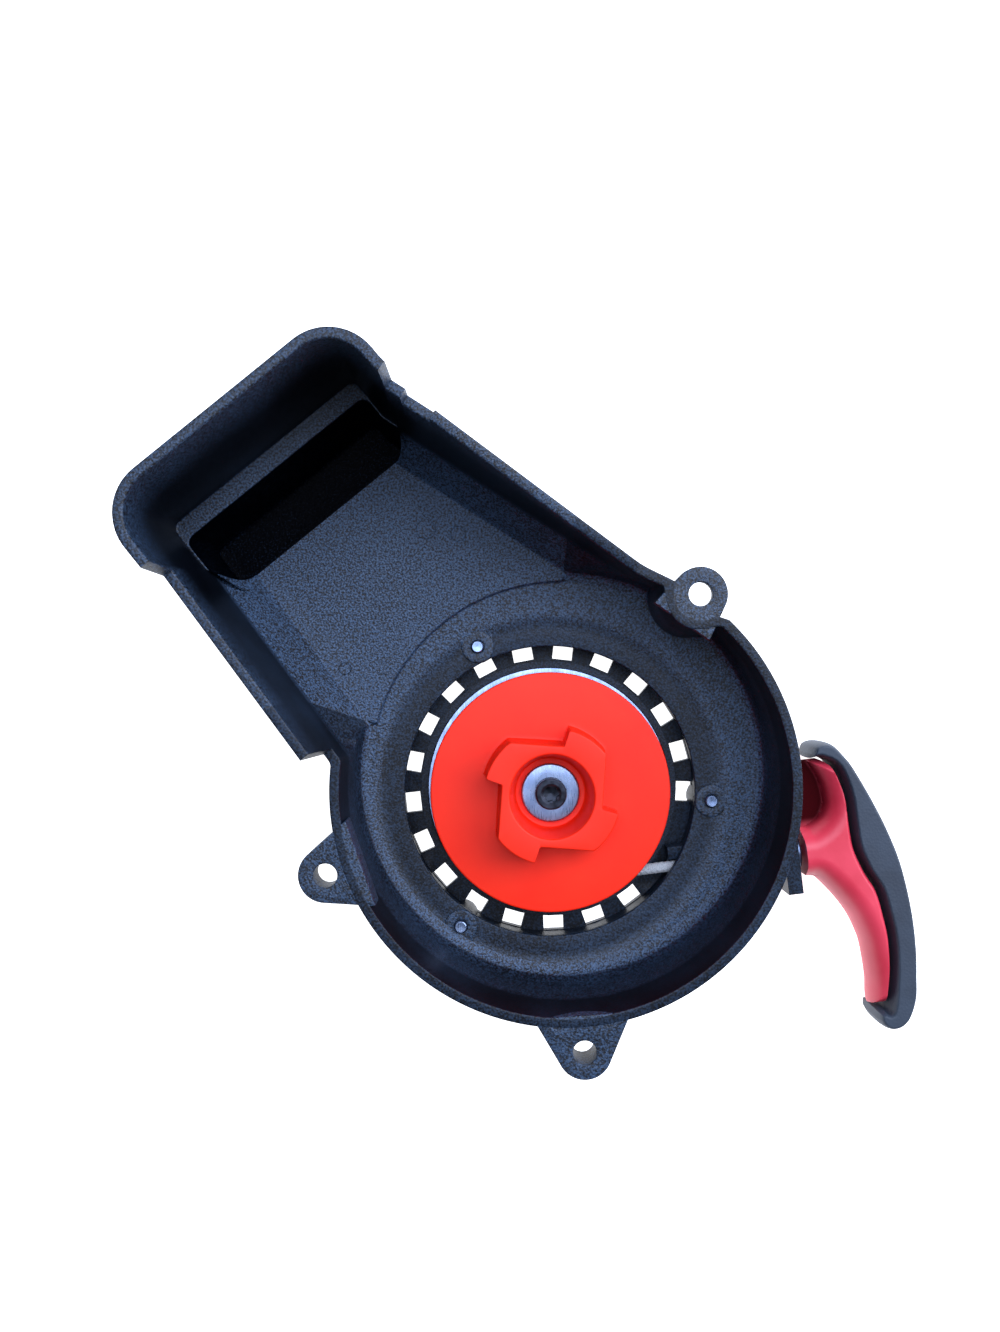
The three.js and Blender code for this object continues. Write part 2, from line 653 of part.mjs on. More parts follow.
function fixingScrews() {
  return FIXING_ANGLES.map((angle, index) => {
    const { x, y } = polar(FIXING_CIRCLE_R, angle);
    const seat = BOSS_SEAT_Z - TOUCH;
    const tip = SEAT_Z + PAD_THICK + FIXING_TIP;
    const head = seat - FIXING_HEAD_HEIGHT;
    const body = turned([
      [0, head + FIXING_DRIVE_DEPTH],
      [FIXING_DRIVE_R, head + FIXING_DRIVE_DEPTH],
      [FIXING_DRIVE_R, head],
      [FIXING_HEAD_R - FIXING_HEAD_EDGE, head],
      [FIXING_HEAD_R, head + FIXING_HEAD_EDGE],
      [FIXING_HEAD_R, seat],
      [FIXING_R, seat],
      [FIXING_R, tip - FIXING_HEAD_EDGE],
      [FIXING_R - FIXING_HEAD_EDGE, tip],
      [0, tip],
    ], SMALL_ROUND).translate([x, y, 0]);
    return makeMesh(`housing_screw_${index + 1}`, body, STEEL);
  });
}

// ---------------------------------------------------------------- spring and its cover

// A flat strip wound from the reel's boss to the wall of the well.
function recoilSpring() {
  const outerR = WELL_R - SPRING_THICK - FIT;
  const perTurn = SMALL_ROUND;
  const count = SPRING_TURNS * perTurn;
  const spiral = (extra) => {
    const points = [];
    for (let i = 0; i <= count; i += 1) {
      const radius = THREE.MathUtils.lerp(REEL_BOSS_R + SPRING_OFF_BOSS, outerR, i / count) + extra;
      points.push(polar(radius, (360 * i) / perTurn));
    }
    return points;
  };
  const outline = new THREE.Shape([...spiral(SPRING_THICK), ...spiral(0).reverse()]);
  const base = HOUSING_FLOOR + FIT;
  return makeMesh('recoil_spring', prism(outline, base, base + SPRING_HEIGHT), SPRING_STEEL);
}

function springCover() {
  const z0 = COVER_Z + TOUCH;
  const body = ring(REEL_BOSS_R + COVER_OFF_BOSS, COVER_R, z0, z0 + COVER_THICK);
  return makeMesh('spring_cover', body, STEEL);
}

// ---------------------------------------------------------------- post fittings

function bearingSleeve() {
  const body = ring(POST_R + TOUCH, SLEEVE_R, HOUSING_FLOOR + TOUCH, SLEEVE_TOP_Z, SMALL_ROUND * 2);
  return makeMesh('bearing_sleeve', body, STEEL);
}

function thrustWasher() {
  const z0 = HOUSING_FLOOR + TOUCH;
  const body = ring(SLEEVE_R + FIT, SLEEVE_R + THRUST_WIDTH, z0, z0 + THRUST_THICK, SMALL_ROUND * 2);
  return makeMesh('thrust_washer', body, STEEL);
}

function postInsert() {
  const body = ring(SCREW_R + FIT, INSERT_R, POST_TOP_Z - INSERT_LENGTH, POST_TOP_Z, SMALL_ROUND);
  return makeMesh('post_insert', body, BRASS);
}

function retainingWasher() {
  const body = ring(SCREW_R + FIT, RETAINER_R, RETAINER_Z, RETAINER_Z + RETAINER_THICK, SMALL_ROUND * 2);
  return makeMesh('retaining_washer', body, STEEL);
}

function centreScrew() {
  const top = SCREW_HEAD_Z + SCREW_HEAD_HEIGHT;
  const screw = turned([
    [0, SCREW_HEAD_Z - SCREW_LENGTH],
    [SCREW_R, SCREW_HEAD_Z - SCREW_LENGTH],
    [SCREW_R, SCREW_HEAD_Z],
    [SCREW_HEAD_R, SCREW_HEAD_Z],
    [SCREW_HEAD_R, top - SCREW_HEAD_EDGE],
    [SCREW_HEAD_R - SCREW_HEAD_EDGE, top],
    [0, top],
  ], SMALL_ROUND * 2);
  const socket = disc(SOCKET_R, top - SOCKET_DEPTH, top + THROUGH, 6);
  return makeMesh('centre_screw', screw.subtract(socket), BLACK_STEEL);
}

// ---------------------------------------------------------------- reel

// Outline of the hub's fixed dogs: each an arc, a radial face and a straight ramp.
function dogOutline() {
  const shape = new THREE.Shape();
  const pitch = 360 / DOG_COUNT;
  for (let i = 0; i < DOG_COUNT; i += 1) {
    const start = DOG_FIRST_ANGLE + i * pitch;
    const end = start + DOG_ARC;
    const root = polar(DOG_ROOT_R, end);
    if (i === 0) shape.moveTo(polar(DOG_OUTER_R, start).x, polar(DOG_OUTER_R, start).y);
    shape.absarc(0, 0, DOG_OUTER_R, rad(start), rad(end), false);
    shape.lineTo(root.x, root.y);
  }
  shape.closePath();
  return shape;
}

function reel() {
  const seatZ = RETAINER_Z - RUN;
  const bossZ = HOUSING_FLOOR + TOUCH + THRUST_THICK + RUN / 2;
  const drum = turned([
    [0, bossZ],
    [REEL_BOSS_R, bossZ],
    [REEL_BOSS_R, REEL_Z],
    [REEL_LOWER_R, REEL_Z],
    [REEL_LOWER_R, GROOVE_Z],
    [REEL_CORE_R, GROOVE_Z],
    [REEL_CORE_R, GROOVE_TOP_Z],
    [REEL_R, GROOVE_TOP_Z],
    [REEL_R, REEL_FACE_Z],
    [0, REEL_FACE_Z],
  ]);
  const hub = prism(dogOutline(), REEL_FACE_Z - THROUGH, HUB_TOP_Z, 8);
  const cup = turned([
    [0, seatZ],
    [HUB_SEAT_R, seatZ],
    [HUB_BORE_R, HUB_TOP_Z],
    [HUB_BORE_R, HUB_TOP_Z + THROUGH],
    [0, HUB_TOP_Z + THROUGH],
  ], SMALL_ROUND * 2);
  const bore = disc(REEL_BORE_R, 0, HUB_TOP_Z, SMALL_ROUND * 2);
  const hollow = ring(HOLLOW_INNER_R, HOLLOW_OUTER_R, REEL_Z - THROUGH, GROOVE_TOP_Z - THROUGH);
  const ropeHoleR = ROPE_R + REEL_ROPE_HOLE_FIT;
  const ropeHole = disc(ropeHoleR, HOLLOW_INNER_R + THROUGH, REEL_CORE_R + THROUGH, SMALL_ROUND)
    .rotate([0, 90, 0])
    .translate([0, 0, ROPE_Z]);
  const body = drum
    .add(hub)
    .subtract(cup)
    .subtract(bore)
    .subtract(hollow)
    .subtract(ropeHole);
  return makeMesh('reel', body, RED_PLASTIC);
}

// ---------------------------------------------------------------- rope

// The rope's turns in the reel's groove, as one plain ring.
function ropeWinding() {
  const body = ring(REEL_CORE_R + FIT, WINDING_R, GROOVE_Z + FIT, GROOVE_TOP_Z - FIT);
  return makeMesh('rope_winding', body, ROPE);
}

function knot(radius, x, y, z) {
  const geometry = new THREE.SphereGeometry(radius, 12, 8);
  geometry.translate(x, y, z);
  return solid(geometry);
}

function reelKnot() {
  const middle = (HOLLOW_INNER_R + HOLLOW_OUTER_R) / 2;
  const room = (HOLLOW_OUTER_R - HOLLOW_INNER_R) / 2;
  const radius = Math.min(KNOT_R, room - FIT);
  return makeMesh('reel_knot', knot(radius, middle, 0, ROPE_Z), ROPE);
}

// Straight run of rope from the winding to the knot in the handle.
function ropeRun() {
  const start = new THREE.Vector3(...ropePoint(ROPE_START));
  const end = new THREE.Vector3(...ropePoint(KNOT_START - FIT));
  const section = new THREE.Shape(circle(ROPE_R, 0, 0, 8));
  const geometry = new THREE.ExtrudeGeometry(section, {
    steps: 1,
    extrudePath: new THREE.LineCurve3(start, end),
    bevelEnabled: false,
  });
  return makeMesh('rope_run', solid(geometry), ROPE);
}

function ropeEyelet() {
  const back = OUTLET_FACE - MOUTH_THICK + FIT;
  const front = OUTLET_FACE + EYELET_LIP;
  const body = turnedAlongX([
    [back, EYELET_BORE_R],
    [front, EYELET_BORE_R],
    [front, EYELET_R + EYELET_LIP_WIDTH],
    [OUTLET_FACE + TOUCH, EYELET_R + EYELET_LIP_WIDTH],
    [OUTLET_FACE + TOUCH, EYELET_R],
    [back, EYELET_R],
  ]);
  return makeMesh('rope_eyelet', onRope(body), STEEL);
}

// ---------------------------------------------------------------- handle

// Handle outlines lie in its own frame: x along the pull, y across it, zero on the neck's face.
const POCKET_AT = NECK_FACE + NECK_LENGTH;
const KNOT_START = POCKET_AT + FIT + KNOT_WASHER_THICK + FIT;

const GRIP_EDGE = [
  [10.8, 28.6],
  [15.5, 21.7],
  [19.3, 13],
  [22.5, 4.2],
  [24.8, -4.3],
  [26.5, -21.1],
  [26.3, -29.4],
  [24.8, -41.7],
];

const SEAM_LINE = [
  [9.1, 23.9],
  [13.1, 20.6],
  [15.4, 12.1],
  [16.3, -1.8],
  [20.3, -13.5],
  [22.2, -27.6],
  [19.3, -45.5],
];

const CORE_EDGE = [
  [13.6, -41],
  [13.9, -36.2],
  [13.2, -27.8],
  [10.7, -19.2],
  [5.2, -10.3],
];

const vectors = (points) => points.map(([x, y]) => new THREE.Vector2(x, y));

function coreOutline() {
  const shape = new THREE.Shape();
  shape.moveTo(...SEAM_LINE[0]);
  shape.splineThru(vectors(SEAM_LINE.slice(1)));
  shape.lineTo(14, -44.5);
  shape.splineThru(vectors(CORE_EDGE));
  shape.lineTo(1.5, -NECK_R);
  shape.lineTo(1.5, NECK_R);
  shape.splineThru(vectors([[6.4, 9.5], [7.6, 14], [4.4, 24.3]]));
  shape.closePath();
  return shape;
}

function gripOutline() {
  const shape = new THREE.Shape();
  shape.moveTo(4.5, 24.4);
  shape.lineTo(4.3, 28.4);
  shape.quadraticCurveTo(7.5, 30.4, ...GRIP_EDGE[0]);
  shape.splineThru(vectors(GRIP_EDGE.slice(1)));
  shape.quadraticCurveTo(22.8, -49.6, 17, -49.8);
  shape.quadraticCurveTo(13.4, -49.4, 13.5, -44.6);
  shape.lineTo(17, -40);
  shape.lineTo(16, -20);
  shape.lineTo(12, 0);
  shape.lineTo(8, 20);
  shape.closePath();
  return shape;
}

// The core's outline grown by the seam gap, to cut the grip with.
function grownCore() {
  const points = coreOutline().getPoints(6);
  const grown = points.map((point, index) => {
    const before = points[(index + points.length - 1) % points.length];
    const after = points[(index + 1) % points.length];
    const along = after.clone().sub(before).normalize();
    return new THREE.Vector2(point.x - along.y * SEAM, point.y + along.x * SEAM);
  });
  return new THREE.Shape(grown);
}

// A body of the handle's own frame, set on the rope's line at the neck's face.
function onHandle(body) {
  return onRope(body.translate([NECK_FACE, 0, 0]));
}

function handleCore() {
  const neck = turnedAlongX([[0, 0], [NECK_LENGTH, 0], [NECK_LENGTH, NECK_R], [0, NECK_R - NECK_EDGE]]);
  const plate = prism(coreOutline(), -CORE_THICK / 2, CORE_THICK / 2, 6);
  const ropeBore = turnedAlongX([
    [-THROUGH, 0],
    [NECK_LENGTH + THROUGH, 0],
    [NECK_LENGTH + THROUGH, ROPE_R + ROPE_HOLE_FIT],
    [-THROUGH, ROPE_R + ROPE_HOLE_FIT],
  ]);
  const pocket = turnedAlongX([
    [NECK_LENGTH, 0],
    [NECK_LENGTH + KNOT_POCKET_LENGTH, 0],
    [NECK_LENGTH + KNOT_POCKET_LENGTH, KNOT_POCKET_R],
    [NECK_LENGTH, KNOT_POCKET_R],
  ]);
  const body = neck.add(plate).subtract(ropeBore).subtract(pocket);
  return makeMesh('handle_core', onHandle(body), HANDLE_RED);
}

function handleGrip() {
  const whole = prism(gripOutline(), -GRIP_THICK / 2, GRIP_THICK / 2, 6);
  const core = prism(grownCore(), -GRIP_THICK, GRIP_THICK, 6);
  return makeMesh('handle_grip', onHandle(whole.subtract(core)), GRIP_RUBBER);
}

function knotWasher() {
  const start = POCKET_AT + FIT;
  const body = turnedAlongX([
    [start, ROPE_R + FIT],
    [start + KNOT_WASHER_THICK, ROPE_R + FIT],
    [start + KNOT_WASHER_THICK, KNOT_WASHER_R],
    [start, KNOT_WASHER_R],
  ]);
  return makeMesh('knot_washer', onRope(body), STEEL);
}

function handleKnot() {
  const radius = Math.min(KNOT_R, (KNOT_POCKET_LENGTH - KNOT_WASHER_THICK) / 2 - FIT * 2);
  const [x, y, z] = ropePoint(KNOT_START + radius);
  return makeMesh('handle_knot', knot(radius, x, y, z), ROPE);
}

// ---------------------------------------------------------------- assembly

const starter = new THREE.Group();
starter.add(
  fanShroud(),
  recoilHousing(),
  ...fixingScrews(),
  recoilSpring(),
  springCover(),
  bearingSleeve(),
  thrustWasher(),
  postInsert(),
  retainingWasher(),
  centreScrew(),
  reel(),
  ropeWinding(),
  reelKnot(),
  ropeRun(),
  ropeEyelet(),
  handleCore(),
  handleGrip(),
  knotWasher(),
  handleKnot(),
);

export default starter;
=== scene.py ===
"""Looks of a small engine's recoil starter.

Shapes are worked out in millimetres in the part's own frame and laid down in metres. Z runs along the
reel's axis towards the engine, and zero is the housing's flat outer face, which lies on the floor.
"""

import math

import bmesh
import bpy
import numpy as np
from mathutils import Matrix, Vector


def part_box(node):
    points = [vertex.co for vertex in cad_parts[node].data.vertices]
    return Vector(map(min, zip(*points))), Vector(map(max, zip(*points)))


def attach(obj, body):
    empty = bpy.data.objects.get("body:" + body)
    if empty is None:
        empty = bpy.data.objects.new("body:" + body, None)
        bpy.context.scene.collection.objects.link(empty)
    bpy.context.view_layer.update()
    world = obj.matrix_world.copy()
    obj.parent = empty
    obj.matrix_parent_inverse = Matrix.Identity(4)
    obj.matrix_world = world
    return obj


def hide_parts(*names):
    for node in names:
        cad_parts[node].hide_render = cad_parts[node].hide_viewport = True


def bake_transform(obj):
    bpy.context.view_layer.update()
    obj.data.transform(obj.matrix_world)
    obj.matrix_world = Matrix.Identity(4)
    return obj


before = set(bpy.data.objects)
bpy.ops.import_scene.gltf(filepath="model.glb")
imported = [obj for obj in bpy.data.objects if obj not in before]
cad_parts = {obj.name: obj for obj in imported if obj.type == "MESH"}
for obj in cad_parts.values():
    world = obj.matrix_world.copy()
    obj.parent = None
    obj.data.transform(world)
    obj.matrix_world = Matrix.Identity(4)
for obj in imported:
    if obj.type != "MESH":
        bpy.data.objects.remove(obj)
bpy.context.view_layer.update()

MM = 0.001
FULL = 2 * np.pi

# ---- sizes read from the frame


def box_mm(node):
    """Lowest and highest corner of a CAD node, in millimetres."""
    lo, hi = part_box(node)
    return np.array(lo) / MM, np.array(hi) / MM


REEL_R = box_mm("reel")[1][0]
HUB_TOP_Z = box_mm("reel")[1][2]
WASHER_LO, WASHER_HI = box_mm("retaining_washer")
SCREW_LO, SCREW_HI = box_mm("centre_screw")
COVER_LO, COVER_HI = box_mm("spring_cover")
HOOD_RIM_Z = box_mm("fan_shroud")[1][2]

# ---- sizes of the moulding

WALL = 2.5
MATING_Z = 12.5
SEAT_Z = 15.0
SEAT_R = 47.4
OPENING_R = 39.3
FLANGE_Z = 40.0
DISH_FLOOR_Z = 15.8
DISH_FLOOR_AT = (3.2, 5.0)
DISH_FLOOR_R = 51.4
DISH_RIM_AT = (3.0, 2.5)
DISH_RIM_R = 56.8
DISH_FILLET_WIDTH = 4.1
DISH_FILLET_RISE = 6.4

DUCT_ANGLE = math.radians(129)
DUCT_FLOOR_Z = 17.0
DUCT_BEND_Z = 26.0
DUCT_RIM_Z = 65.0
DUCT_LEFT = ((45.8, -39.2), (100.8, -36.8))
DUCT_RIGHT = ((31.8, 56.6), (103.2, 33.0))
LEFT_RIM_START = DUCT_LEFT[0][0] - 0.6
DRAFT = 2.6
CHAMFER_LEFT = 7.7
CHAMFER_RIGHT = 6.2
RAMP_END_Z = 63.0
NOTCH = (88.9, 96.2)
HOOD_START_RIGHT = 100.4
NOTCH_Z = 60.0
HOOD_END = 119.0
HOOD_CORNER_R = 12.5
SHELF_CORNER_R = 2.5
STEP_Z = 16.4
UNDER_DISH_Z = 13.3
DUCT_FROM = (36.8, 25.8)
PAD_R = 4.4
PAD_BORE_R = 1.78
GRAIN_SIZE = 0.55
# Grain value that paints shade on the pocket's faces: near black, with almost no gloss.
POCKET_SHADE = -0.5
SHELF_Z = 33.0
SHELF_DEPTH = 6.0
POCKET_Z = 5.0
POCKET_START = 95.0
POCKET_CUT = 6.0

EAR_HOLES = ((36.75, 51.9, 3.0), (-57.25, -18.6, 9.0), (7.75, -62.9, 11.0))
EAR_HOLE_R = 3.0
EAR_R = 6.9
EAR_BOSS_R = 9.0
EAR_BOSS_DRAFT = 1.5

EAR_ROOTS = (8.4, 9.4, 9.4)
PIN_MARKS = ((76.0, 18.5, 2.6), (69.6, 24.5, 2.0), (60.5, -22.0, 1.6))

FIXINGS = [box_mm(f"housing_screw_{i}") for i in (1, 2, 3)]

# ---- sizes of the reel, rope and handle

REEL_FACE_Z = 18.5
REEL_LOWER_R = 30.5
REEL_CORE_R = 20.0
BORE_R = 6.75
WASHER_BORE_R = 2.62
BOSS_R = BORE_R + 2.8
HOLLOW_R = (BOSS_R + WALL, REEL_CORE_R - 2.2)
REEL_FOOT_Z = box_mm("reel")[0][2]
GROOVE_Z = box_mm("rope_winding")[0][2] - 0.1
GROOVE_TOP_Z = box_mm("rope_winding")[1][2] + 0.1
LOWER_Z = GROOVE_Z - 1.1
HUB_SEAT_R = WASHER_HI[0] + 1.6
HUB_BORE_R = HUB_SEAT_R + 1.6
DOG_COUNT = 4
DOG_FIRST_ANGLE = 38
DOG_ARC = 37
DOG_ROOT_R = HUB_BORE_R + 2.4
DOG_OUTER_R = DOG_ROOT_R + 4.4

ROPE_R = 1.5
ROPE_ANGLE = 7
ROPE_PULL_R = 25.0
ROPE_Z = GROOVE_Z + ROPE_R + 0.1
WINDING_R = box_mm("rope_winding")[1][0]
ROPE_START = math.sqrt((WINDING_R + ROPE_R + 0.42) ** 2 - ROPE_PULL_R**2)
RUN_LEAD_IN = 0.7
OUTLET_FACE = DISH_RIM_R + WALL + 5.2
NECK_FACE = OUTLET_FACE + 1.8
KNOT_START = NECK_FACE + 9.0 + 1.2
NECK_R = 6.4
CORE_THICK = 16.8
WEB_EDGE = 0.8
WEB_HALF = 0.9
GRIP_THICK = 18.8

# ---- grids and meshes


def grid_quads(rows, columns, close_rows, close_columns):
    """Corner numbers of the quads of a rows x columns grid, joined round where asked."""
    i = np.arange(rows if close_rows else rows - 1)
    j = np.arange(columns if close_columns else columns - 1)
    i, j = np.meshgrid(i, j, indexing="ij")
    i2, j2 = (i + 1) % rows, (j + 1) % columns
    quads = np.stack([i * columns + j, i2 * columns + j, i2 * columns + j2, i * columns + j2], -1)
    return quads.reshape(-1, 4)


def fan(centre, rim):
    """Triangles from one corner to a closed row of corners."""
    return np.stack([np.full(len(rim), centre), rim, np.roll(rim, -1)], -1)


def signed_volume(points, faces):
    """Six times the volume that the faces close in: the sum of a . (b x c) over their triangles."""
    total = 0.0
    for face in faces:
        a = points[face[:, 0]]
        for k in range(1, face.shape[1] - 1):
            cross = np.cross(points[face[:, k]], points[face[:, k + 1]])
            total += float((a * cross).sum())
    return total


def polar(radius, angle, z):
    """Points from radii, bearings and heights."""
    return np.stack([radius * np.cos(angle), radius * np.sin(angle), z + 0 * angle], -1)


def closed_rows(rows):
    """Points and faces of rows of points that close on themselves both ways."""
    return rows.reshape(-1, 3), [grid_quads(rows.shape[0], rows.shape[1], True, True)]


def capped(rows, start, end):
    """Points and faces of rings of points, with one more point at each end to close them."""
    count = rows.shape[1]
    n = rows.shape[0] * count
    rings = grid_quads(len(rows), count, False, True)
    ends = [fan(n, np.arange(count)[::-1]), fan(n + 1, np.arange(n - count, n))]
    return np.vstack([rows.reshape(-1, 3), [start, end]]), [rings, *ends]


def add_object(name, data):
    made = bpy.data.objects.new(name, data)
    bpy.context.scene.collection.objects.link(made)
    return made


def put(name, shell, material, body, nodes, slot, sharp=35.0, **values):
    """A piece from corners in millimetres and lists of faces, turned so that its faces look outward.
    Further values are kept at its corners under their own names."""
    points, faces = shell
    if signed_volume(points, faces) < 0:
        faces = [f[:, ::-1] for f in faces]
    mesh = bpy.data.meshes.new(name)
    mesh.from_pydata((points * MM).tolist(), [], [row for f in faces for row in f.tolist()])
    for key, numbers in values.items():
        layer = mesh.attributes.new(key, "FLOAT", "POINT")
        layer.data.foreach_set("value", np.full(len(points), numbers, np.float32))
    mesh.shade_smooth()
    mesh.set_sharp_from_angle(angle=math.radians(sharp))
    mesh.materials.append(material)
    piece = add_object(name, mesh)
    if body:
        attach(piece, body)
    if nodes:
        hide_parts(*nodes)
    return piece


def rounded(corners, radii, steps=3):
    """Closed polyline corners cut by curves: each corner becomes a quadratic arc that starts and ends
    at most its radius away from it, and never more than 0.45 of the neighbouring side. corners is
    (count, ..., coordinates), so one call rounds the profiles of every row at once. A fourth number
    in a corner is blended along but not measured."""
    corners = np.asarray(corners, float)
    out = []
    for i, radius in enumerate(radii):
        here = corners[i]
        if radius <= 0:
            out.append(here)
            continue
        reached = []
        for side in (corners[i - 1] - here, corners[(i + 1) % len(corners)] - here):
            length = np.linalg.norm(side[..., :3], axis=-1, keepdims=True)
            reached.append(here + side * np.minimum(radius, 0.45 * length) / np.maximum(length, 1e-9))
        start, end = reached
        for t in np.linspace(0, 1, steps + 1):
            out.append(start * (1 - t) ** 2 + here * 2 * t * (1 - t) + end * t**2)
    return np.stack(out)


def turned(profile, radii, count=128, steps=3):
    """Points and faces of a closed profile of (radius, z) corners turned round Z."""
    line = rounded(profile, radii, steps)
    angle = np.linspace(0, FULL, count, endpoint=False)
    return closed_rows(polar(line[:, :1], angle, line[:, 1:]))


def block(r0, r1, z0, z1):
    """Four corners of a flat ring's profile."""
    return [(r0, z0), (r1, z0), (r1, z1), (r0, z1)]


def joined(parts):
    """Several (points, faces) shells as one."""
    points, faces, start = [], [], 0
    for p, fs in parts:
        points.append(p)
        faces += [f + start for f in fs]
        start += len(p)
    return np.vstack(points), faces


def smoothstep(t):
    t = np.clip(t, 0, 1)
    return t * t * (3 - 2 * t)


def larger(a, b, width):
    """The larger of two radii, with the crease between them rounded over a width."""
    h = np.clip(0.5 + 0.5 * (a - b) / width, 0, 1)
    return b * (1 - h) + a * h + width * h * (1 - h)


# ---- materials


def linear(colour):
    """A hex sRGB colour as linear red, green, blue and alpha."""
    value = int(colour.lstrip("#"), 16)
    channels = [(value >> shift & 255) / 255 for shift in (16, 8, 0)]
    return [c / 12.92 if c <= 0.04045 else ((c + 0.055) / 1.055) ** 2.4 for c in channels] + [1.0]


def node(tree, kind, settings=None, **links):
    """Adds a node, sets its properties and its sockets, and links other nodes' outputs to its inputs."""
    made = tree.nodes.new("ShaderNode" + kind)
    for key, value in (settings or {}).items():
        if isinstance(key, str) and hasattr(made, key):
            setattr(made, key, value)
        else:
            made.inputs[key].default_value = value
    for key, source in links.items():
        socket = int(key[1:]) if key[0] == "i" and key[1:].isdigit() else key.replace("_", " ")
        tree.links.new(source, made.inputs[socket])
    return made


def new_material(name, colour, **settings):
    """A material with its shader's uniform numbers set on the shader itself."""
    material = bpy.data.materials.new(name)
    material.use_nodes = True
    tree = material.node_tree
    shader = tree.nodes["Principled BSDF"]
    shader.inputs["Base Color"].default_value = linear(colour)
    for key, value in settings.items():
        shader.inputs[key.replace("_", " ")].default_value = value
    return material, tree, shader

def ramp(tree, source, stops):
    made = node(tree, "ValToRGB")
    tree.links.new(source, made.inputs["Fac"])
    elements = made.color_ramp.elements
    for place, _ in stops[2:]:
        elements.new(place)
    for element, (place, colour) in zip(elements, stops):
        element.position = place
        element.color = linear(colour)
    return made.outputs["Color"]


def noise(tree, place, size, detail, **more):
    """Noise with blotches of a size in millimetres."""
    settings = {"Scale": 1 / (size * MM), "Detail": detail, **more}
    return node(tree, "TexNoise", settings, Vector=place).outputs["Fac"]


def coloured(tree, shader, source, *stops):
    """The base colour follows the source through a ramp of (place, hex colour) stops."""
    tree.links.new(ramp(tree, source, stops), shader.inputs["Base Color"])


def bumped(tree, shader, source, strength, height):
    """The source raises the surface by up to a height in millimetres."""
    bump = node(tree, "Bump", {"Strength": strength, "Distance": height * MM}, Height=source)
    tree.links.new(bump.outputs["Normal"], shader.inputs["Normal"])


def varied(tree, shader, socket, source, start, stop, low, high):
    """A socket of the shader that goes from low to high as the source goes from start to stop."""
    made = node(tree, "MapRange", {1: start, 2: stop, 3: low, 4: high}, i0=source)
    tree.links.new(made.outputs[0], shader.inputs[socket])


def object_place(tree):
    return node(tree, "TexCoord").outputs["Object"]


def black_nylon():
    """Glass-filled nylon, injection moulded. Spark-eroded faces are grainy: a speckle of light and
    dark a third of a millimetre across, blue-grey where light falls square on it. The polished walls
    have no grain and stay near black with a soft gloss. A grain below zero paints shade on the faces
    of the pocket in front of the hood: their colour goes near black and their gloss fades."""
    material, tree, shader = new_material("black_glass_filled_nylon", "#14181f", Roughness=0.5)
    place = object_place(tree)
    grain = node(tree, "Attribute", {"attribute_name": "grain"}).outputs["Fac"]
    coarse = node(tree, "TexVoronoi", {"Scale": 1 / (GRAIN_SIZE * MM), "feature": "F1"}, Vector=place)
    fine = noise(tree, place, GRAIN_SIZE, 5.0, Roughness=0.6)
    broad = noise(tree, place, 30, 3.0)
    height = node(tree, "Math", {"operation": "MULTIPLY"}, i0=coarse.outputs["Distance"], i1=fine)
    masked = node(tree, "Math", {"operation": "MULTIPLY"}, i0=height.outputs[0], i1=grain)
    bumped(tree, shader, masked.outputs[0], 0.9, 0.3)
    speck = node(tree, "MapRange", {1: 0.39, 2: 0.61, 3: -0.25, 4: 1.65}, i0=fine)
    lit = node(tree, "Math", {"operation": "MULTIPLY"}, i0=speck.outputs[0], i1=grain)
    cloud = node(tree, "Math", {"operation": "MULTIPLY_ADD", 1: 0.5, 2: -0.15}, i0=broad)
    settings = {"operation": "MULTIPLY_ADD", 1: 0.6}
    tint = node(tree, "Math", settings, i0=lit.outputs[0], i2=cloud.outputs[0])
    # A grain below zero lands on the ramp's near-black first stop, which is painted shade. The gloss map
    # below fades with it.
    coloured(tree, shader, tint.outputs[0], (0.0, "#010206"), (0.12, "#080c14"), (1.0, "#3b5372"))
    varied(tree, shader, "Roughness", grain, 0.0, 1.0, 0.36, 0.55)
    varied(tree, shader, "Specular IOR Level", grain, -0.1, 0.7, 0.02, 0.45)
    return material


def red_nylon():
    """Unfilled nylon, moulded smooth: a saturated orange red with a broad soft gloss and a little
    light under its surface. Faint flow clouds a few centimetres across are all that breaks it up."""
    material, tree, shader = new_material(
        "red_moulded_nylon",
        "#fe3a1a",
        Roughness=0.5,
        Specular_IOR_Level=0.3,
        Subsurface_Weight=0.08,
        Subsurface_Radius=(0.004, 0.001, 0.0005),
        Subsurface_Scale=0.5,
    )
    place = object_place(tree)
    coloured(tree, shader, noise(tree, place, 18, 3.0), (0.3, "#fa2205"), (0.7, "#ff2a0c"))
    bumped(tree, shader, noise(tree, place, 1.2, 2.0), 0.12, 0.1)
    return material


def red_polypropylene():
    """Polypropylene, moulded satin: the handle's core, a cooler and darker red than the reel's. An
    attribute paints shade on the web behind the upper arm, which little light reaches: its colour
    goes to a dark red and its gloss fades."""
    material, tree, shader = new_material("red_moulded_polypropylene", "#d6364c", Roughness=0.42)
    place = object_place(tree)
    colour = ramp(tree, noise(tree, place, 14, 3.0), ((0.3, "#cf2f44"), (0.7, "#e24056")))
    deep = node(tree, "Attribute", {"attribute_name": "deep"}).outputs["Fac"]
    # Painted shade: the web is mixed towards dark red and loses its gloss.
    shaded = node(tree, "MixRGB", {2: linear("#3a0409")}, i0=deep, i1=colour)
    varied(tree, shader, "Specular IOR Level", deep, 0.0, 1.0, 0.5, 0.02)
    tree.links.new(shaded.outputs["Color"], shader.inputs["Base Color"])
    bumped(tree, shader, noise(tree, place, 0.8, 2.0), 0.18, 0.1)
    return material


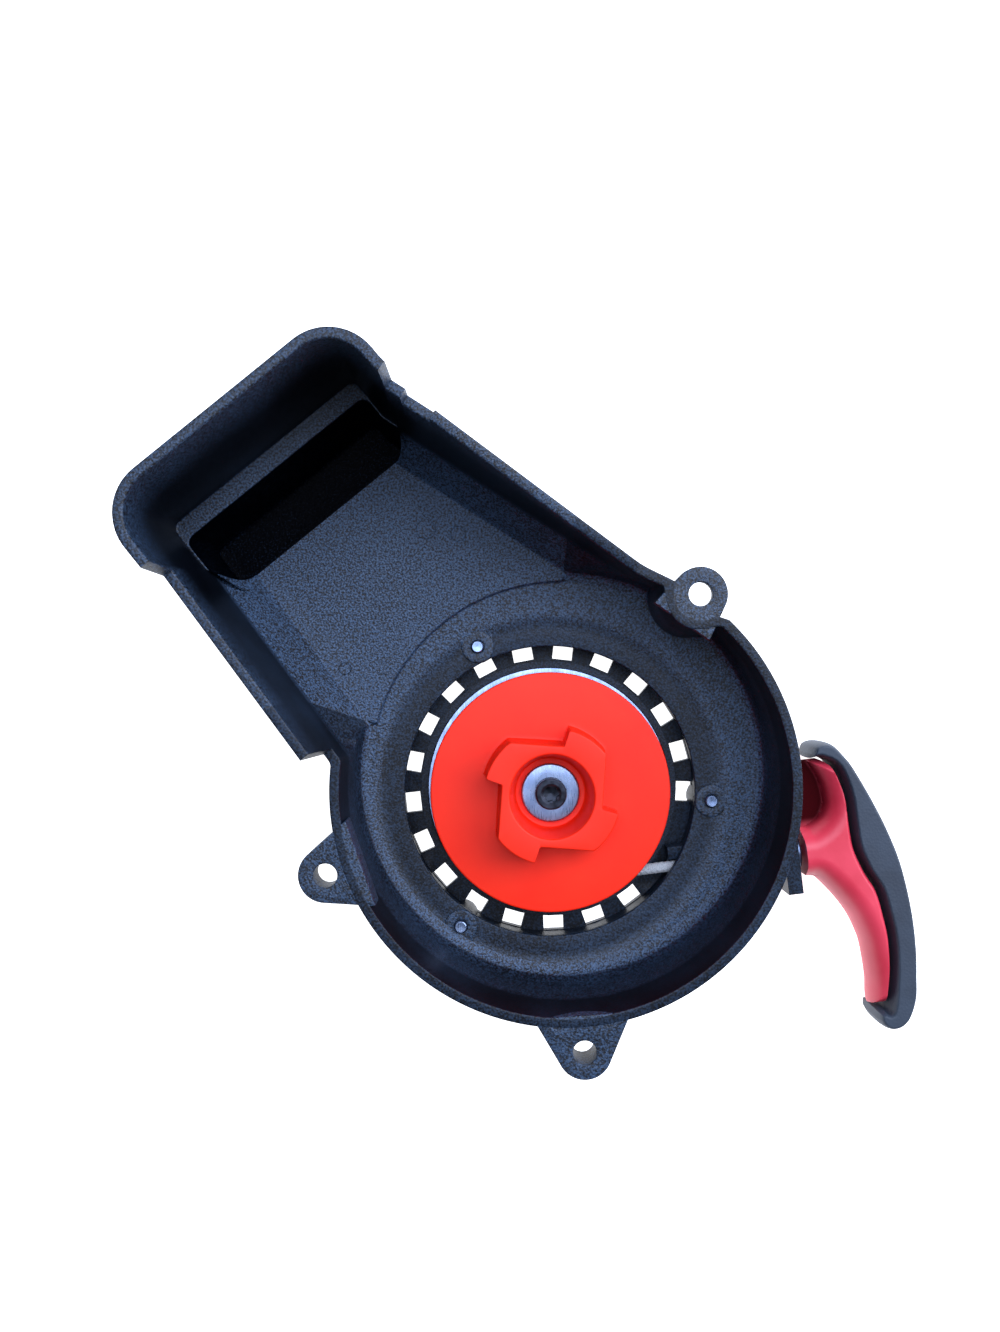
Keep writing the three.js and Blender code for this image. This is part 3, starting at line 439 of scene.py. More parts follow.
def grip_rubber():
    """Thermoplastic rubber moulded over the handle: matt, with a fine leathery grain of 0.7 mm."""
    material, tree, shader = new_material("moulded_soft_rubber", "#1a1d24", Roughness=0.62)
    place = object_place(tree)
    cells = node(tree, "TexVoronoi", {"Scale": 1 / (0.7 * MM)}, Vector=place)
    coloured(tree, shader, noise(tree, place, 9, 4.0), (0.3, "#252f3d"), (0.75, "#313d4d"))
    bumped(tree, shader, cells.outputs["Distance"], 0.35, 0.12)
    return material


def zinc_plate():
    """Mild steel with bright zinc plate: a bluish white metal, faintly scratched in rings."""
    material, tree, shader = new_material("bright_zinc_plated_steel", "#c3cbd8", Metallic=1.0, Roughness=0.3)
    place = object_place(tree)
    stretch = node(tree, "Mapping", {"Scale": (1.0, 0.08, 1.0)}, Vector=place).outputs["Vector"]
    varied(tree, shader, "Roughness", noise(tree, stretch, 0.25, 3.0), 0.3, 0.7, 0.22, 0.42)
    coloured(tree, shader, noise(tree, place, 4, 3.0), (0.3, "#7688aa"), (0.7, "#98a8c6"))
    return material


def black_oxide():
    """Alloy steel with a black oxide finish, oiled: nearly black with a tight grey gloss."""
    material, tree, shader = new_material("black_oxide_steel", "#2a2c33", Metallic=0.9, Roughness=0.38)
    wear = noise(tree, object_place(tree), 1.5, 4.0)
    coloured(tree, shader, wear, (0.35, "#1c1e25"), (0.75, "#3c414d"))
    varied(tree, shader, "Roughness", wear, 0.3, 0.7, 0.3, 0.5)
    return material


def spring_strip():
    """Hardened spring steel strip, oiled: dark grey, smooth, with long rolling marks."""
    material, tree, shader = new_material("oiled_spring_steel", "#5b616c", Metallic=1.0, Roughness=0.32)
    marks = noise(tree, object_place(tree), 0.6, 2.0)
    varied(tree, shader, "Roughness", marks, 0.3, 0.7, 0.25, 0.42)
    return material


def turned_brass():
    """Free-cutting brass, turned: yellow, with fine tool rings every 0.2 mm."""
    material, tree, shader = new_material("turned_brass", "#c9a557", Metallic=1.0, Roughness=0.3)
    settings = {"Scale": 1 / (0.2 * MM) / 20, "bands_direction": "Z"}
    rings = node(tree, "TexWave", settings, Vector=object_place(tree))
    bumped(tree, shader, rings.outputs["Fac"], 0.2, 0.05)
    return material


def braided_polyester():
    """Braided polyester cord: dull light grey yarn, each strand a bundle of fine fibres that catch
    light along it. Fibres are drawn at 0.25 mm."""
    material, tree, shader = new_material("braided_polyester", "#a9adb3", Roughness=0.85, Sheen_Weight=0.3)
    fibre = noise(tree, object_place(tree), 0.25, 3.0)
    coloured(tree, shader, fibre, (0.3, "#7f858e"), (0.7, "#c6c9ce"))
    bumped(tree, shader, fibre, 0.4, 0.12)
    return material


BLACK = black_nylon()
RED = red_nylon()
HANDLE_RED = red_polypropylene()
RUBBER = grip_rubber()
ZINC = zinc_plate()
OXIDE = black_oxide()
STRIP = spring_strip()
BRASS = turned_brass()
CORD = braided_polyester()

# ---- the shroud's outlines


def to_duct(x, y):
    """Along and across the duct, from the part's own x and y."""
    c, s = math.cos(DUCT_ANGLE), math.sin(DUCT_ANGLE)
    return x * c + y * s, x * s - y * c


from_duct = to_duct  # the mirrored turn undoes itself


def side_line(ends, u):
    """How far across the duct a wall lies at u; past the line's far end the wall runs straight on."""
    (u0, v0), (u1, v1) = ends
    return v0 + (v1 - v0) * (np.minimum(u, u1) - u0) / (u1 - u0)


def left_side(u, inset):
    return side_line(DUCT_LEFT, u) + inset


def right_side(u, inset):
    return side_line(DUCT_RIGHT, u) - inset * 1.1


def by_bearing(u, v, bearing):
    """Radius of a closed outline at the bearings, from its points along and across the duct."""
    x, y = from_duct(np.asarray(u, float), np.asarray(v, float))
    angle = np.mod(np.arctan2(y, x), FULL)
    order = np.argsort(angle)
    return np.interp(np.mod(bearing, FULL), angle[order], np.hypot(x, y)[order], period=FULL)


def end_corner(end, side, sign, radius, steps=24):
    """Quarter circle between a side wall and the end wall."""
    turn = np.linspace(0, np.pi / 2, steps)
    if sign > 0:
        turn = turn[::-1]
    return end - radius * (1 - np.cos(turn)), side - sign * radius * (1 - np.sin(turn))


def duct_outline(inset_left, inset_right, end, radius):
    """Closed outline of the duct's inside at one level. Behind the dish's middle it shrinks to a
    few points that the dish covers."""
    along = np.linspace(0, 1, 400)
    u_left = DUCT_FROM[0] + (end - radius - DUCT_FROM[0]) * along
    u_right = DUCT_FROM[1] + (end - radius - DUCT_FROM[1]) * along
    corner_left = end_corner(end, left_side(end, inset_left), -1, radius)
    corner_right = end_corner(end, right_side(end, inset_right), 1, radius)
    across = np.linspace(left_side(end, inset_left) + radius, right_side(end, inset_right) - radius, 80)
    u = np.concatenate([u_left, corner_left[0], 0 * across + end, corner_right[0], u_right[::-1], [0, -5, 0]])
    near, far = left_side(u_left, inset_left), right_side(u_right, inset_right)[::-1]
    v = np.concatenate([near, corner_left[1], across, corner_right[1], far, [30, 0, -30]])
    return u, v


def duct_radius(bearing, z, offset):
    """Radius of the duct's wall: its outline is worked out at the floor, the bend, the shelf and the
    top, and levels in between lie on straight lines. offset is 0 inside and the wall outside."""
    levels = np.array([DUCT_FLOOR_Z - offset, DUCT_BEND_Z - offset, SHELF_Z - offset, HOOD_RIM_Z])
    lean = DRAFT * (HOOD_RIM_Z - levels) / (HOOD_RIM_Z - levels[1])
    lean = np.minimum(lean, DRAFT)
    inset = WALL - offset + lean
    above = HOOD_RIM_Z - np.maximum(levels, levels[2])
    end = HOOD_END - WALL + offset - DRAFT / 2 * above / (HOOD_RIM_Z - levels[2])
    left = inset + np.array([CHAMFER_LEFT - offset / 2, 0, 0, 0])
    right = inset + np.array([CHAMFER_RIGHT - offset / 2, 0, 0, 0])
    corner = np.array([SHELF_CORNER_R, SHELF_CORNER_R, SHELF_CORNER_R, HOOD_CORNER_R - WALL]) + offset
    outlines = [duct_outline(*numbers) for numbers in zip(left, right, end, corner)]
    table = np.stack([by_bearing(*outline, bearing) for outline in outlines])
    z = np.broadcast_to(np.asarray(z, float), bearing.shape)
    k = np.clip(np.searchsorted(levels, z, side="right") - 1, 0, len(levels) - 2)
    share = np.clip((z - levels[k]) / (levels[k + 1] - levels[k]), 0, 1.2)
    rows = np.arange(len(bearing))
    return table[k, rows] * (1 - share) + table[k + 1, rows] * share


def circle_radius(bearing, centre, radius, far=True):
    """Distance from the axis along the bearing to a circle: c.d +- sqrt((c.d)^2 - c^2 + r^2)."""
    along = centre[0] * np.cos(bearing) + centre[1] * np.sin(bearing)
    under = along**2 - (centre[0] ** 2 + centre[1] ** 2) + radius**2
    root = np.sqrt(np.maximum(under, 0))
    if far:
        return along + root
    return np.where((under > 0) & (along > 0), along - root, 1e3)


def dish_radius(bearing, z, offset):
    """Radius of the dish's wall: a quarter ellipse rises from the floor, then a straight flare. The
    circle's middle moves over with height. Inside, the wall bulges round the first ear's hole."""
    z = np.broadcast_to(np.asarray(z, float), bearing.shape)
    base = DISH_FLOOR_Z - (DISH_FLOOR_Z - MATING_Z if offset else 0)
    rise = np.maximum(z - base, 0)
    t = np.clip(1 - rise / DISH_FILLET_RISE, 0, 1)
    fillet = DISH_FILLET_WIDTH * np.sqrt(1 - t**2)
    span = DISH_RIM_R - DISH_FLOOR_R - DISH_FILLET_WIDTH
    flare = span * np.clip((rise - DISH_FILLET_RISE) / (FLANGE_Z - base - DISH_FILLET_RISE), 0, 1)
    share = np.clip(rise / (FLANGE_Z - base), 0, 1)
    centre = [a + (b - a) * share for a, b in zip(DISH_FLOOR_AT, DISH_RIM_AT)]
    radius = circle_radius(bearing, centre, DISH_FLOOR_R + fillet + flare + offset)
    boss_r = EAR_BOSS_R - offset + EAR_BOSS_DRAFT * (FLANGE_Z - z) / (FLANGE_Z - DISH_FLOOR_Z)
    boss = circle_radius(bearing, EAR_HOLES[0][:2], boss_r, far=False)
    return -larger(-radius, -boss, 3.0)


def wall_radius(bearing, z, offset, crease=0.8):
    """The dish and the duct run into each other: the wall stands at the larger of their radii."""
    return larger(duct_radius(bearing, z, offset), dish_radius(bearing, z, offset), crease)


def pocket_radius(bearing, z, offset):
    """Radius of the far wall of the pocket in front of the hood, and of its side walls."""
    share = (SHELF_Z - z) / (SHELF_Z - POCKET_Z)
    end = HOOD_END - DRAFT - SHELF_DEPTH - share + offset / 2
    inset = WALL + DRAFT + share - offset
    return by_bearing(*duct_outline(inset, inset, end, SHELF_CORNER_R), bearing)


def pocket_edge_radius(bearing, offset):
    """Radius at which the duct's floor ends: a straight edge across, swept back near the walls."""
    inset = WALL + DRAFT
    v = np.linspace(left_side(POCKET_START, 0), right_side(POCKET_START, 0), 400)
    near_wall = np.minimum(v - left_side(POCKET_START, inset), right_side(POCKET_START, inset) - v)
    u = POCKET_START - offset + POCKET_CUT * (1 - np.clip(near_wall / POCKET_CUT, 0, 1)) ** 2
    x, y = from_duct(u, v)
    angle = np.mod(np.arctan2(y, x), FULL)
    order = np.argsort(angle)
    outside = 1e3
    return np.interp(bearing, angle[order], np.hypot(x, y)[order], left=outside, right=outside)


def bearing_of(u, v):
    x, y = from_duct(u, v)
    return math.atan2(y, x) % FULL


def rim_height(bearing):
    """Height of the shroud's rim: the flange's on the dish, level on the duct's left, sloping up on
    its right with a notch, and the hood's at its end."""
    radius = wall_radius(bearing, FLANGE_Z, 0)
    u, v = to_duct(radius * np.cos(bearing), radius * np.sin(bearing))
    left = v < 0
    height = np.full(bearing.shape, FLANGE_Z)
    height = np.where(left & (u > LEFT_RIM_START), DUCT_RIM_Z, height)
    slope = FLANGE_Z + (RAMP_END_Z - FLANGE_Z) * (u - DUCT_RIGHT[0][0]) / (NOTCH[0] - DUCT_RIGHT[0][0])
    height = np.where(~left & (u > DUCT_RIGHT[0][0]), slope, height)
    height = np.where(~left & (u > NOTCH[0]), NOTCH_Z, height)
    height = np.where(~left & (u > NOTCH[1]), DUCT_RIM_Z, height)
    hood = np.where(left, u > DUCT_LEFT[1][0], u > HOOD_START_RIGHT)
    return np.where(hood, HOOD_RIM_Z, height)


def jump_bearings():
    """Bearings at which the rim or the floor steps, so that rows can stand on both sides of them."""
    steps = []
    inset = WALL + 1.9
    for u in (LEFT_RIM_START, DUCT_LEFT[1][0]):
        steps.append(bearing_of(u, left_side(u, inset)))
    for u in (*NOTCH, HOOD_START_RIGHT):
        steps.append(bearing_of(u, right_side(u, inset)))
    return steps


def refine_jumps(guesses, function):
    """Bisects each guessed bearing to the place where the function steps."""
    found = []
    for guess in guesses:
        a, b = guess - math.radians(1.2), guess + math.radians(1.2)
        fine = np.linspace(a, b, 4001)
        values = function(fine)
        k = int(np.argmax(np.abs(np.diff(values))))
        found.append((fine[k] + fine[k + 1]) / 2)
    return found


def pocket_flag(bearing):
    """1 where a ray meets the pocket's edge before the side wall, else 0."""
    return (pocket_edge_radius(bearing, 0) < duct_radius(bearing, DUCT_BEND_Z, 0)).astype(float)


def shroud():
    """The tray as closed profiles that stand side by side round the axis. Each profile runs from the
    opening over the floor and up the wall to the rim, and back down the outside; its corners are
    levels of the outlines above. Outside rows are turned so that they face their inside rows."""
    lo, hi = math.radians(60), math.radians(176)
    bearing = np.concatenate(
        [np.linspace(lo, hi, 430, endpoint=False), np.linspace(hi, lo + FULL, 260, endpoint=False)]
    )
    jumps = refine_jumps(jump_bearings(), rim_height)
    fine = np.linspace(math.radians(105), math.radians(160), 20001)
    flips = np.nonzero(np.diff(pocket_flag(fine)))[0]
    jumps += [(fine[k] + fine[k + 1]) / 2 for k in flips]
    gap = math.radians(0.012)
    extra = np.array([j + s for j in jumps for s in (-gap, gap)])
    bearing = np.sort(np.concatenate([np.mod(bearing, FULL), np.mod(extra, FULL)]))

    in_pocket = pocket_flag(bearing) > 0.5
    rim = rim_height(bearing)
    edge = pocket_edge_radius(bearing, 0)
    duct_floor = duct_radius(bearing, DUCT_FLOOR_Z, 0)
    in_duct = smoothstep((duct_floor - dish_radius(bearing, DUCT_FLOOR_Z, 0)) / 1.5)

    def pick(pocket, other):
        return np.where(in_pocket, pocket, other)

    def blended(dish, duct):
        return dish * (1 - in_duct) + duct * in_duct

    # Rows stand upright on the walls: a corner at another level, or outside, is the wall's place at
    # the flange moved along the wall's normal, and its bearing is worked out again from there.
    near = 1e-3
    here = wall_radius(bearing, FLANGE_Z, 0)
    ahead = wall_radius(bearing + near, FLANGE_Z, 0)
    behind = wall_radius(bearing - near, FLANGE_Z, 0)
    x, y = here * np.cos(bearing), here * np.sin(bearing)
    along_x = ahead * np.cos(bearing + near) - behind * np.cos(bearing - near)
    along_y = ahead * np.sin(bearing + near) - behind * np.sin(bearing - near)
    length = np.hypot(along_x, along_y)
    normal_x, normal_y = along_y / length, -along_x / length

    def moved(distance):
        """The rows' bearings after a step outward along the wall's normal, kept in order."""
        angle = np.arctan2(y + normal_y * distance, x + normal_x * distance)
        angle = bearing + np.mod(angle - bearing + np.pi, FULL) - np.pi
        return np.maximum.accumulate(angle)

    def level(z, offset=0.0):
        """A corner on the wall at a height, or at each row's own height."""
        lean = DRAFT * (np.maximum(z, DUCT_BEND_Z) - FLANGE_Z) / (HOOD_RIM_Z - DUCT_BEND_Z)
        angle = moved(offset + lean * in_duct)
        return angle, wall_radius(angle, z, offset), z

    step_r = circle_radius(bearing, DISH_FLOOR_AT, DISH_FLOOR_R + 0.4)
    foot = np.minimum(wall_radius(bearing, DUCT_FLOOR_Z, 0), pick(edge, 1e3))
    bend_r = duct_radius(bearing, DUCT_BEND_Z, 0)
    climb = np.clip((edge - duct_floor) / np.maximum(bend_r - duct_floor, 1e-3), 0, 1)
    edge_z = DUCT_FLOOR_Z + (DUCT_BEND_Z - DUCT_FLOOR_Z) * climb
    shelf_foot = duct_radius(bearing, SHELF_Z, 0)

    def low(pocket_r, pocket_z, other_z):
        """A corner on the pocket's faces where there is a pocket, else on the wall's own foot."""
        return bearing, pick(pocket_r, wall_radius(bearing, other_z, 0)), pick(pocket_z, other_z)

    middle = (rim + FLANGE_Z) / 2 - 0.5
    below_flange = FLANGE_Z - 1.0
    dish_step_r = dish_radius(bearing, STEP_Z, 0)
    inside = [
        # (bearing, radius, height), rounding, grain
        ((bearing, OPENING_R, SEAT_Z), 0.35, 0.3),
        ((bearing, SEAT_R - 2.4, SEAT_Z), 1.6, 0.3),
        ((bearing, SEAT_R + 0.6, DISH_FLOOR_Z), 1.6, 0.9),
        ((bearing, circle_radius(bearing, DISH_FLOOR_AT, DISH_FLOOR_R), DISH_FLOOR_Z), 0.2, 0.9),
        ((bearing, blended(dish_step_r, step_r), blended(STEP_Z, DUCT_FLOOR_Z)), 0.2, 1.0),
        ((bearing, foot, DUCT_FLOOR_Z), 0.6, 1.0),
        (low(edge, edge_z, 17.5), 0.5, 1.0),
        # The pocket's faces below carry painted shade: their grain is below zero.
        (low(edge + 1.0, POCKET_Z, 18.0), 0.8, POCKET_SHADE),
        (low(pocket_radius(bearing, POCKET_Z, 0), POCKET_Z, 18.8), 1.2, POCKET_SHADE),
        (low(pocket_radius(bearing, 16.0, 0), 16.0, 20.0), 0.0, POCKET_SHADE),
        (low(pocket_radius(bearing, 32.0, 0), 32.0, 22.4), 0.0, POCKET_SHADE),
        (low(pocket_radius(bearing, SHELF_Z, 0), SHELF_Z, DUCT_BEND_Z), 0.3, 0.9),
        (low(shelf_foot, SHELF_Z, 28.5), 1.0, 0.5),
        (level(30.0 + 4 * in_pocket), 0.0, 0.05),
        (level(below_flange), 0.0, 0.05),
        (level(middle), 0.0, 0.05),
        (level(rim), 0.5, 0.6),
    ]

    out_angle = moved(WALL)
    edge_out = pocket_edge_radius(out_angle, WALL)
    under_floor = DUCT_FLOOR_Z - WALL
    under_shelf = SHELF_Z - WALL
    under_pocket = POCKET_Z - WALL

    def under(pocket_r, pocket_z, other_z):
        """As low, for the outside."""
        return out_angle, pick(pocket_r, wall_radius(out_angle, other_z, WALL)), pick(pocket_z, other_z)

    under_duct_r = dish_radius(out_angle, under_floor, WALL)
    under_dish_r = dish_radius(out_angle, UNDER_DISH_Z, WALL)
    outside = [
        (level(rim, WALL), 0.5, 0.6),
        (level(middle, WALL), 0.0, 0.4),
        (level(below_flange, WALL), 0.0, 0.4),
        (under(wall_radius(out_angle, under_shelf, WALL), under_shelf, 30.5), 0.6, 0.4),
        (under(pocket_radius(out_angle, under_shelf, WALL), under_shelf, 26.0), 0.6, 0.4),
        (under(pocket_radius(out_angle, 16.0, WALL), 16.0, 23.5), 0.5, 0.4),
        (under(pocket_radius(out_angle, under_pocket, WALL), under_pocket, 20.0), 1.0, 0.5),
        (under(edge_out, under_pocket, 17.0), 0.8, 0.5),
        (under(edge_out, under_floor, under_floor), 0.5, 0.5),
        ((out_angle, blended(under_dish_r, under_duct_r), blended(UNDER_DISH_Z, under_floor)), 0.2, 0.5),
        ((out_angle, circle_radius(out_angle, DISH_FLOOR_AT, DISH_FLOOR_R + WALL), MATING_Z), 0.3, 0.5),
        ((bearing, OPENING_R, MATING_Z), 0.35, 0.5),
    ]
    columns = inside + outside
    corners = np.stack([polar(r, a, z) for (a, r, z), _, _ in columns])
    rounding = [column[1] for column in columns]
    grain = np.array([column[2] for column in columns])[:, None] * np.ones(len(bearing))
    # Painted shade stays on the pocket alone; the same rows elsewhere get grainy floor instead.
    grain = np.where((grain < 0) & ~in_pocket[None, :], 0.9, grain)
    high = (np.arange(len(columns)) >= 6)[:, None] & (in_duct < 0.5)[None, :]
    grain = np.where(high, np.minimum(grain, 0.3), grain)
    packed = np.concatenate([corners, grain[..., None]], -1)
    body = rounded(packed, rounding)
    return closed_rows(body[..., :3]), body[..., 3].ravel()


shell, grain = shroud()
put("shroud_tray", shell, BLACK, "housing", ["fan_shroud"], "black_plastic", grain=grain)


def ear(x, y, thick, root):
    """A bolt ear as profiles round its hole. Its outline is the hull of a circle round the hole and
    two corners by the dish, which lie further apart the thicker the ear is."""
    towards = np.array([DISH_RIM_AT[0] - x, DISH_RIM_AT[1] - y])
    towards /= np.linalg.norm(towards)
    spread = EAR_R + thick / 2
    facing = math.atan2(towards[1], towards[0])
    corner = math.atan2(spread, root)
    reach = math.hypot(spread, root)
    turn = np.linspace(0, FULL, 240, endpoint=False)
    off = np.abs(np.mod(turn - facing + np.pi, FULL) - np.pi)
    tangent = corner + math.acos(EAR_R / reach)
    flank = EAR_R / np.maximum(np.cos(np.clip(tangent - off, 0, 1.5)), 1e-3)
    front = root / np.maximum(np.cos(off), 1e-3)
    radius = np.where(off < corner, front, np.where(off < tangent, flank, EAR_R))
    top, low = FLANGE_Z - 0.04, FLANGE_Z - thick
    profile = [(EAR_HOLE_R, top), (radius, top), (radius, low), (EAR_HOLE_R, low)]
    corners = np.stack([polar(r, turn, z) + np.array([x, y, 0]) for r, z in profile])
    return closed_rows(rounded(corners, [0.3, 0.5, 0.5, 0.3]))


ears = joined([ear(x, y, thick, root) for (x, y, thick), root in zip(EAR_HOLES, EAR_ROOTS)])
put("shroud_ears", ears, BLACK, "housing", [], "black_plastic", grain=0.7)


def moved_by(shell, x, y, z=0.0):
    points, faces = shell
    return points + np.array([x, y, z]), faces


def fixing_pads():
    """A low round pad with a hole round each screw's tip, and the fainter ring of the core pin's
    bush beside it."""
    pad = turned(block(PAD_BORE_R, PAD_R, SEAT_Z - 1.2, SEAT_Z + 0.6), [0.1, 0, 0.35, 0.2], 72)
    bush = turned(block(4.3, 4.9, SEAT_Z + 0.1, SEAT_Z + 0.22), [0, 0, 0.05, 0.05], 72)
    shells = []
    for lo, hi in FIXINGS:
        x, y = (lo[:2] + hi[:2]) / 2
        shells.append(moved_by(pad, x, y))
        shells.append(moved_by(bush, x * 1.04, y * 1.04))
    return joined(shells)


def pin_marks():
    """Rings left on the duct's floor by the mould's round ejector pins."""
    shells = []
    for u, v, radius in PIN_MARKS:
        x, y = from_duct(u, v)
        foot, top = DUCT_FLOOR_Z - 0.2, DUCT_FLOOR_Z + 0.22
        ring = turned([(radius - 0.25, foot), (radius + 0.25, foot), (radius, top)], [0, 0, 0.12], 56)
        shells.append(moved_by(ring, x, y))
    return joined(shells)


for name, shell in (("fixing_pads", fixing_pads()), ("ejector_pin_marks", pin_marks())):
    put(name, shell, BLACK, "housing", [], "black_plastic", grain=0.6)

# ---- reel


def dog_outline():
    """Bearings and radii of the hub's outline: each dog is an arc, a radial face at its end and a
    straight ramp up to the next arc, with small curves at its corners."""
    corners, radii = [], []
    pitch = FULL / DOG_COUNT
    for i in range(DOG_COUNT):
        start = math.radians(DOG_FIRST_ANGLE) + i * pitch
        end = start + math.radians(DOG_ARC)
        for turn in np.linspace(start, end, 9):
            corners.append((DOG_OUTER_R * math.cos(turn), DOG_OUTER_R * math.sin(turn)))
            radii.append(0.0)
        radii[-1], radii[-9] = 0.5, 0.8
        foot = end + 0.02
        root = np.array([math.cos(foot), math.sin(foot)]) * DOG_ROOT_R
        ahead = np.array([math.cos(start + pitch), math.sin(start + pitch)]) * DOG_OUTER_R
        corners.append(tuple(root))
        radii.append(0.5)
        for share in np.linspace(0.08, 0.92, 12):
            corners.append(tuple(root * (1 - share) + ahead * share))
            radii.append(0.0)
    line = rounded(np.array(corners), radii, steps=5)
    angle = np.unwrap(np.arctan2(line[:, 1], line[:, 0]))
    return np.maximum.accumulate(angle), np.hypot(line[:, 0], line[:, 1])


def reel_body():
    """The reel as profiles round its axis: bore, lower flange, rope groove, upper disc, then the hub
    whose radius follows the dogs' outline, and the hub's cup down to the washer's seat."""
    turn, dog = dog_outline()
    extra = np.linspace(turn[0], turn[0] + FULL, 300, endpoint=False)
    bearing = np.sort(np.concatenate([turn, extra]))
    dog = np.interp(bearing, turn, dog, period=FULL)
    seat = WASHER_LO[2] - 0.3
    profile = [
        (BORE_R, REEL_FOOT_Z, 0.3),
        (BOSS_R, REEL_FOOT_Z, 0.3),
        (BOSS_R, LOWER_Z, 0.0),
        (HOLLOW_R[0], LOWER_Z, 0.2),
        (HOLLOW_R[0], GROOVE_TOP_Z - 1, 0.8),
        (HOLLOW_R[1], GROOVE_TOP_Z - 1, 0.8),
        (HOLLOW_R[1], LOWER_Z, 0.2),
        (REEL_LOWER_R, LOWER_Z, 0.4),
        (REEL_LOWER_R, GROOVE_Z, 0.4),
        (REEL_CORE_R, GROOVE_Z, 0.6),
        (REEL_CORE_R, GROOVE_TOP_Z, 0.6),
        (REEL_R, GROOVE_TOP_Z, 0.5),
        (REEL_R, REEL_FACE_Z, 0.6),
        (dog + 1.7, REEL_FACE_Z, 0.0),
        (dog + 0.55, REEL_FACE_Z, 1.1),
        (dog, HUB_TOP_Z, 0.45),
        (HUB_BORE_R, HUB_TOP_Z, 0.55),
        (HUB_SEAT_R, seat, 0.5),
        (BORE_R, seat, 0.2),
    ]
    corners = np.stack([polar(r, bearing, z) for r, z, _ in profile])
    return closed_rows(rounded(corners, [row[2] for row in profile], steps=4))


put("rope_reel", reel_body(), RED, "reel", ["reel"], "red_plastic", sharp=28.0)

# ---- screws, washer and cover


def threaded(profile, thread_z, depth, pitch, count=96, head_shape=None):
    """A turned piece on the axis whose shank carries a thread: between the two heights its radius
    loses a saw-tooth of the bearing plus the height over the pitch. A head shape adds to the radius
    of the head, by bearing."""
    turn = np.linspace(0, FULL, count, endpoint=False)
    line = np.array(profile, float)
    step = np.concatenate([[0], np.cumsum(np.hypot(*np.diff(line, axis=0).T))])
    fine = np.unique(np.concatenate([np.linspace(0, step[-1], 420), step]))
    r = np.interp(fine, step, line[:, 0])[:, None]
    z = np.interp(fine, step, line[:, 1])[:, None]
    wave = np.abs(np.mod(z / pitch - turn / FULL, 1.0) - 0.5) * 2
    fade = smoothstep((z - thread_z[0]) / pitch) * smoothstep((thread_z[1] - z) / pitch)
    rho = np.maximum(r - depth * wave * fade * (r > 0.9 * line[:, 0].min()), 0.02)
    if head_shape is not None:
        rho = rho + head_shape(turn, r, z)
    return capped(polar(rho, turn, z), (0, 0, line[0, 1]), (0, 0, line[-1, 1]))


def centre_screw():
    """Socket screw: from the shank's end up the thread, round the knurled head, down into a socket
    with six rounded lobes."""
    lo, hi = SCREW_LO[2], SCREW_HI[2]
    under = WASHER_HI[2] + 0.05
    head = SCREW_HI[0]

    def shape(turn, r, z):
        knurl = -0.13 * np.abs(np.cos(turn * 18)) * (r > head - 0.02) * (z < hi - 0.7) * (z > under + 0.4)
        lobes = 0.26 * np.cos(turn * 6) * (np.abs(r - 2.05) < 0.05) * (z > under)
        return knurl + lobes

    profile = [
        (0.02, lo),
        (2.0, lo),
        (2.5, lo + 0.5),
        (2.5, under),
        (head - 0.3, under),
        (head, under + 0.3),
        (head, hi - 0.45),
        (head - 0.12, hi - 0.15),
        (head - 0.45, hi),
        (2.75, hi),
        (2.05, hi - 0.35),
        (2.05, hi - 2.6),
        (0.02, hi - 3.1),
    ]
    return threaded(profile, (lo, under - 1.0), 0.42, 0.8, 144, shape)


put("socket_screw", centre_screw(), OXIDE, "housing", ["centre_screw"], "black_steel", sharp=40.0)

washer = turned(
    block(WASHER_BORE_R, WASHER_HI[0], WASHER_LO[2], WASHER_HI[2]), [0.15, 0.15, 0.5, 0.3], 144, 4
)
put("pressed_washer", washer, ZINC, "housing", ["retaining_washer"], "steel")


def fixing_screw(lo, hi):
    """Pan-head thread-forming screw for plastic: coarse sharp thread, blunt tip, star recess."""

    def shape(turn, r, z):
        return 0.2 * np.cos(turn * 6) * (np.abs(r - 1.0) < 0.04) * (z < lo[2] + 1.0)

    shank = 1.7
    profile = [
        (0.02, lo[2] + 0.9),
        (1.0, lo[2] + 0.8),
        (1.0, lo[2] + 0.1),
        (1.5, lo[2]),
        (2.4, lo[2] + 0.1),
        (3.0, lo[2] + 0.9),
        (3.0, lo[2] + 2.1),
        (2.8, lo[2] + 2.2),
        (shank, lo[2] + 2.25),
        (shank, hi[2] - 0.4),
        (1.6, hi[2] - 0.12),
        (1.4, hi[2]),
        (0.02, hi[2] - 0.06),
    ]
    points, faces = threaded(profile, (lo[2] + 3.0, hi[2] + 0.3), 0.42, 1.3, 72, shape)
    x, y = (lo[:2] + hi[:2]) / 2
    return moved_by((points, faces), x, y)


for i, (lo, hi) in enumerate(FIXINGS, 1):
    screw = fixing_screw(lo, hi)
    put(f"fixing_screw_{i}", screw, ZINC, "housing", [f"housing_screw_{i}"], "steel", sharp=45.0)

cover = turned(
    [
        (BOSS_R + 1, COVER_LO[2]),
        (COVER_HI[0], COVER_LO[2]),
        (COVER_HI[0], COVER_HI[2]),
        (COVER_HI[0] - 2.2, COVER_HI[2]),
        (COVER_HI[0] - 2.8, COVER_HI[2] - 0.18),
        (BOSS_R + 2.6, COVER_HI[2] - 0.18),
        (BOSS_R + 2.0, COVER_HI[2]),
        (BOSS_R + 1, COVER_HI[2]),
    ],
    [0.1, 0.1, 0.2, 0.3, 0.3, 0.3, 0.3, 0.1],
    192,
)
put("pressed_spring_cover", cover, ZINC, "housing", ["spring_cover"], "steel")

# ---- rope


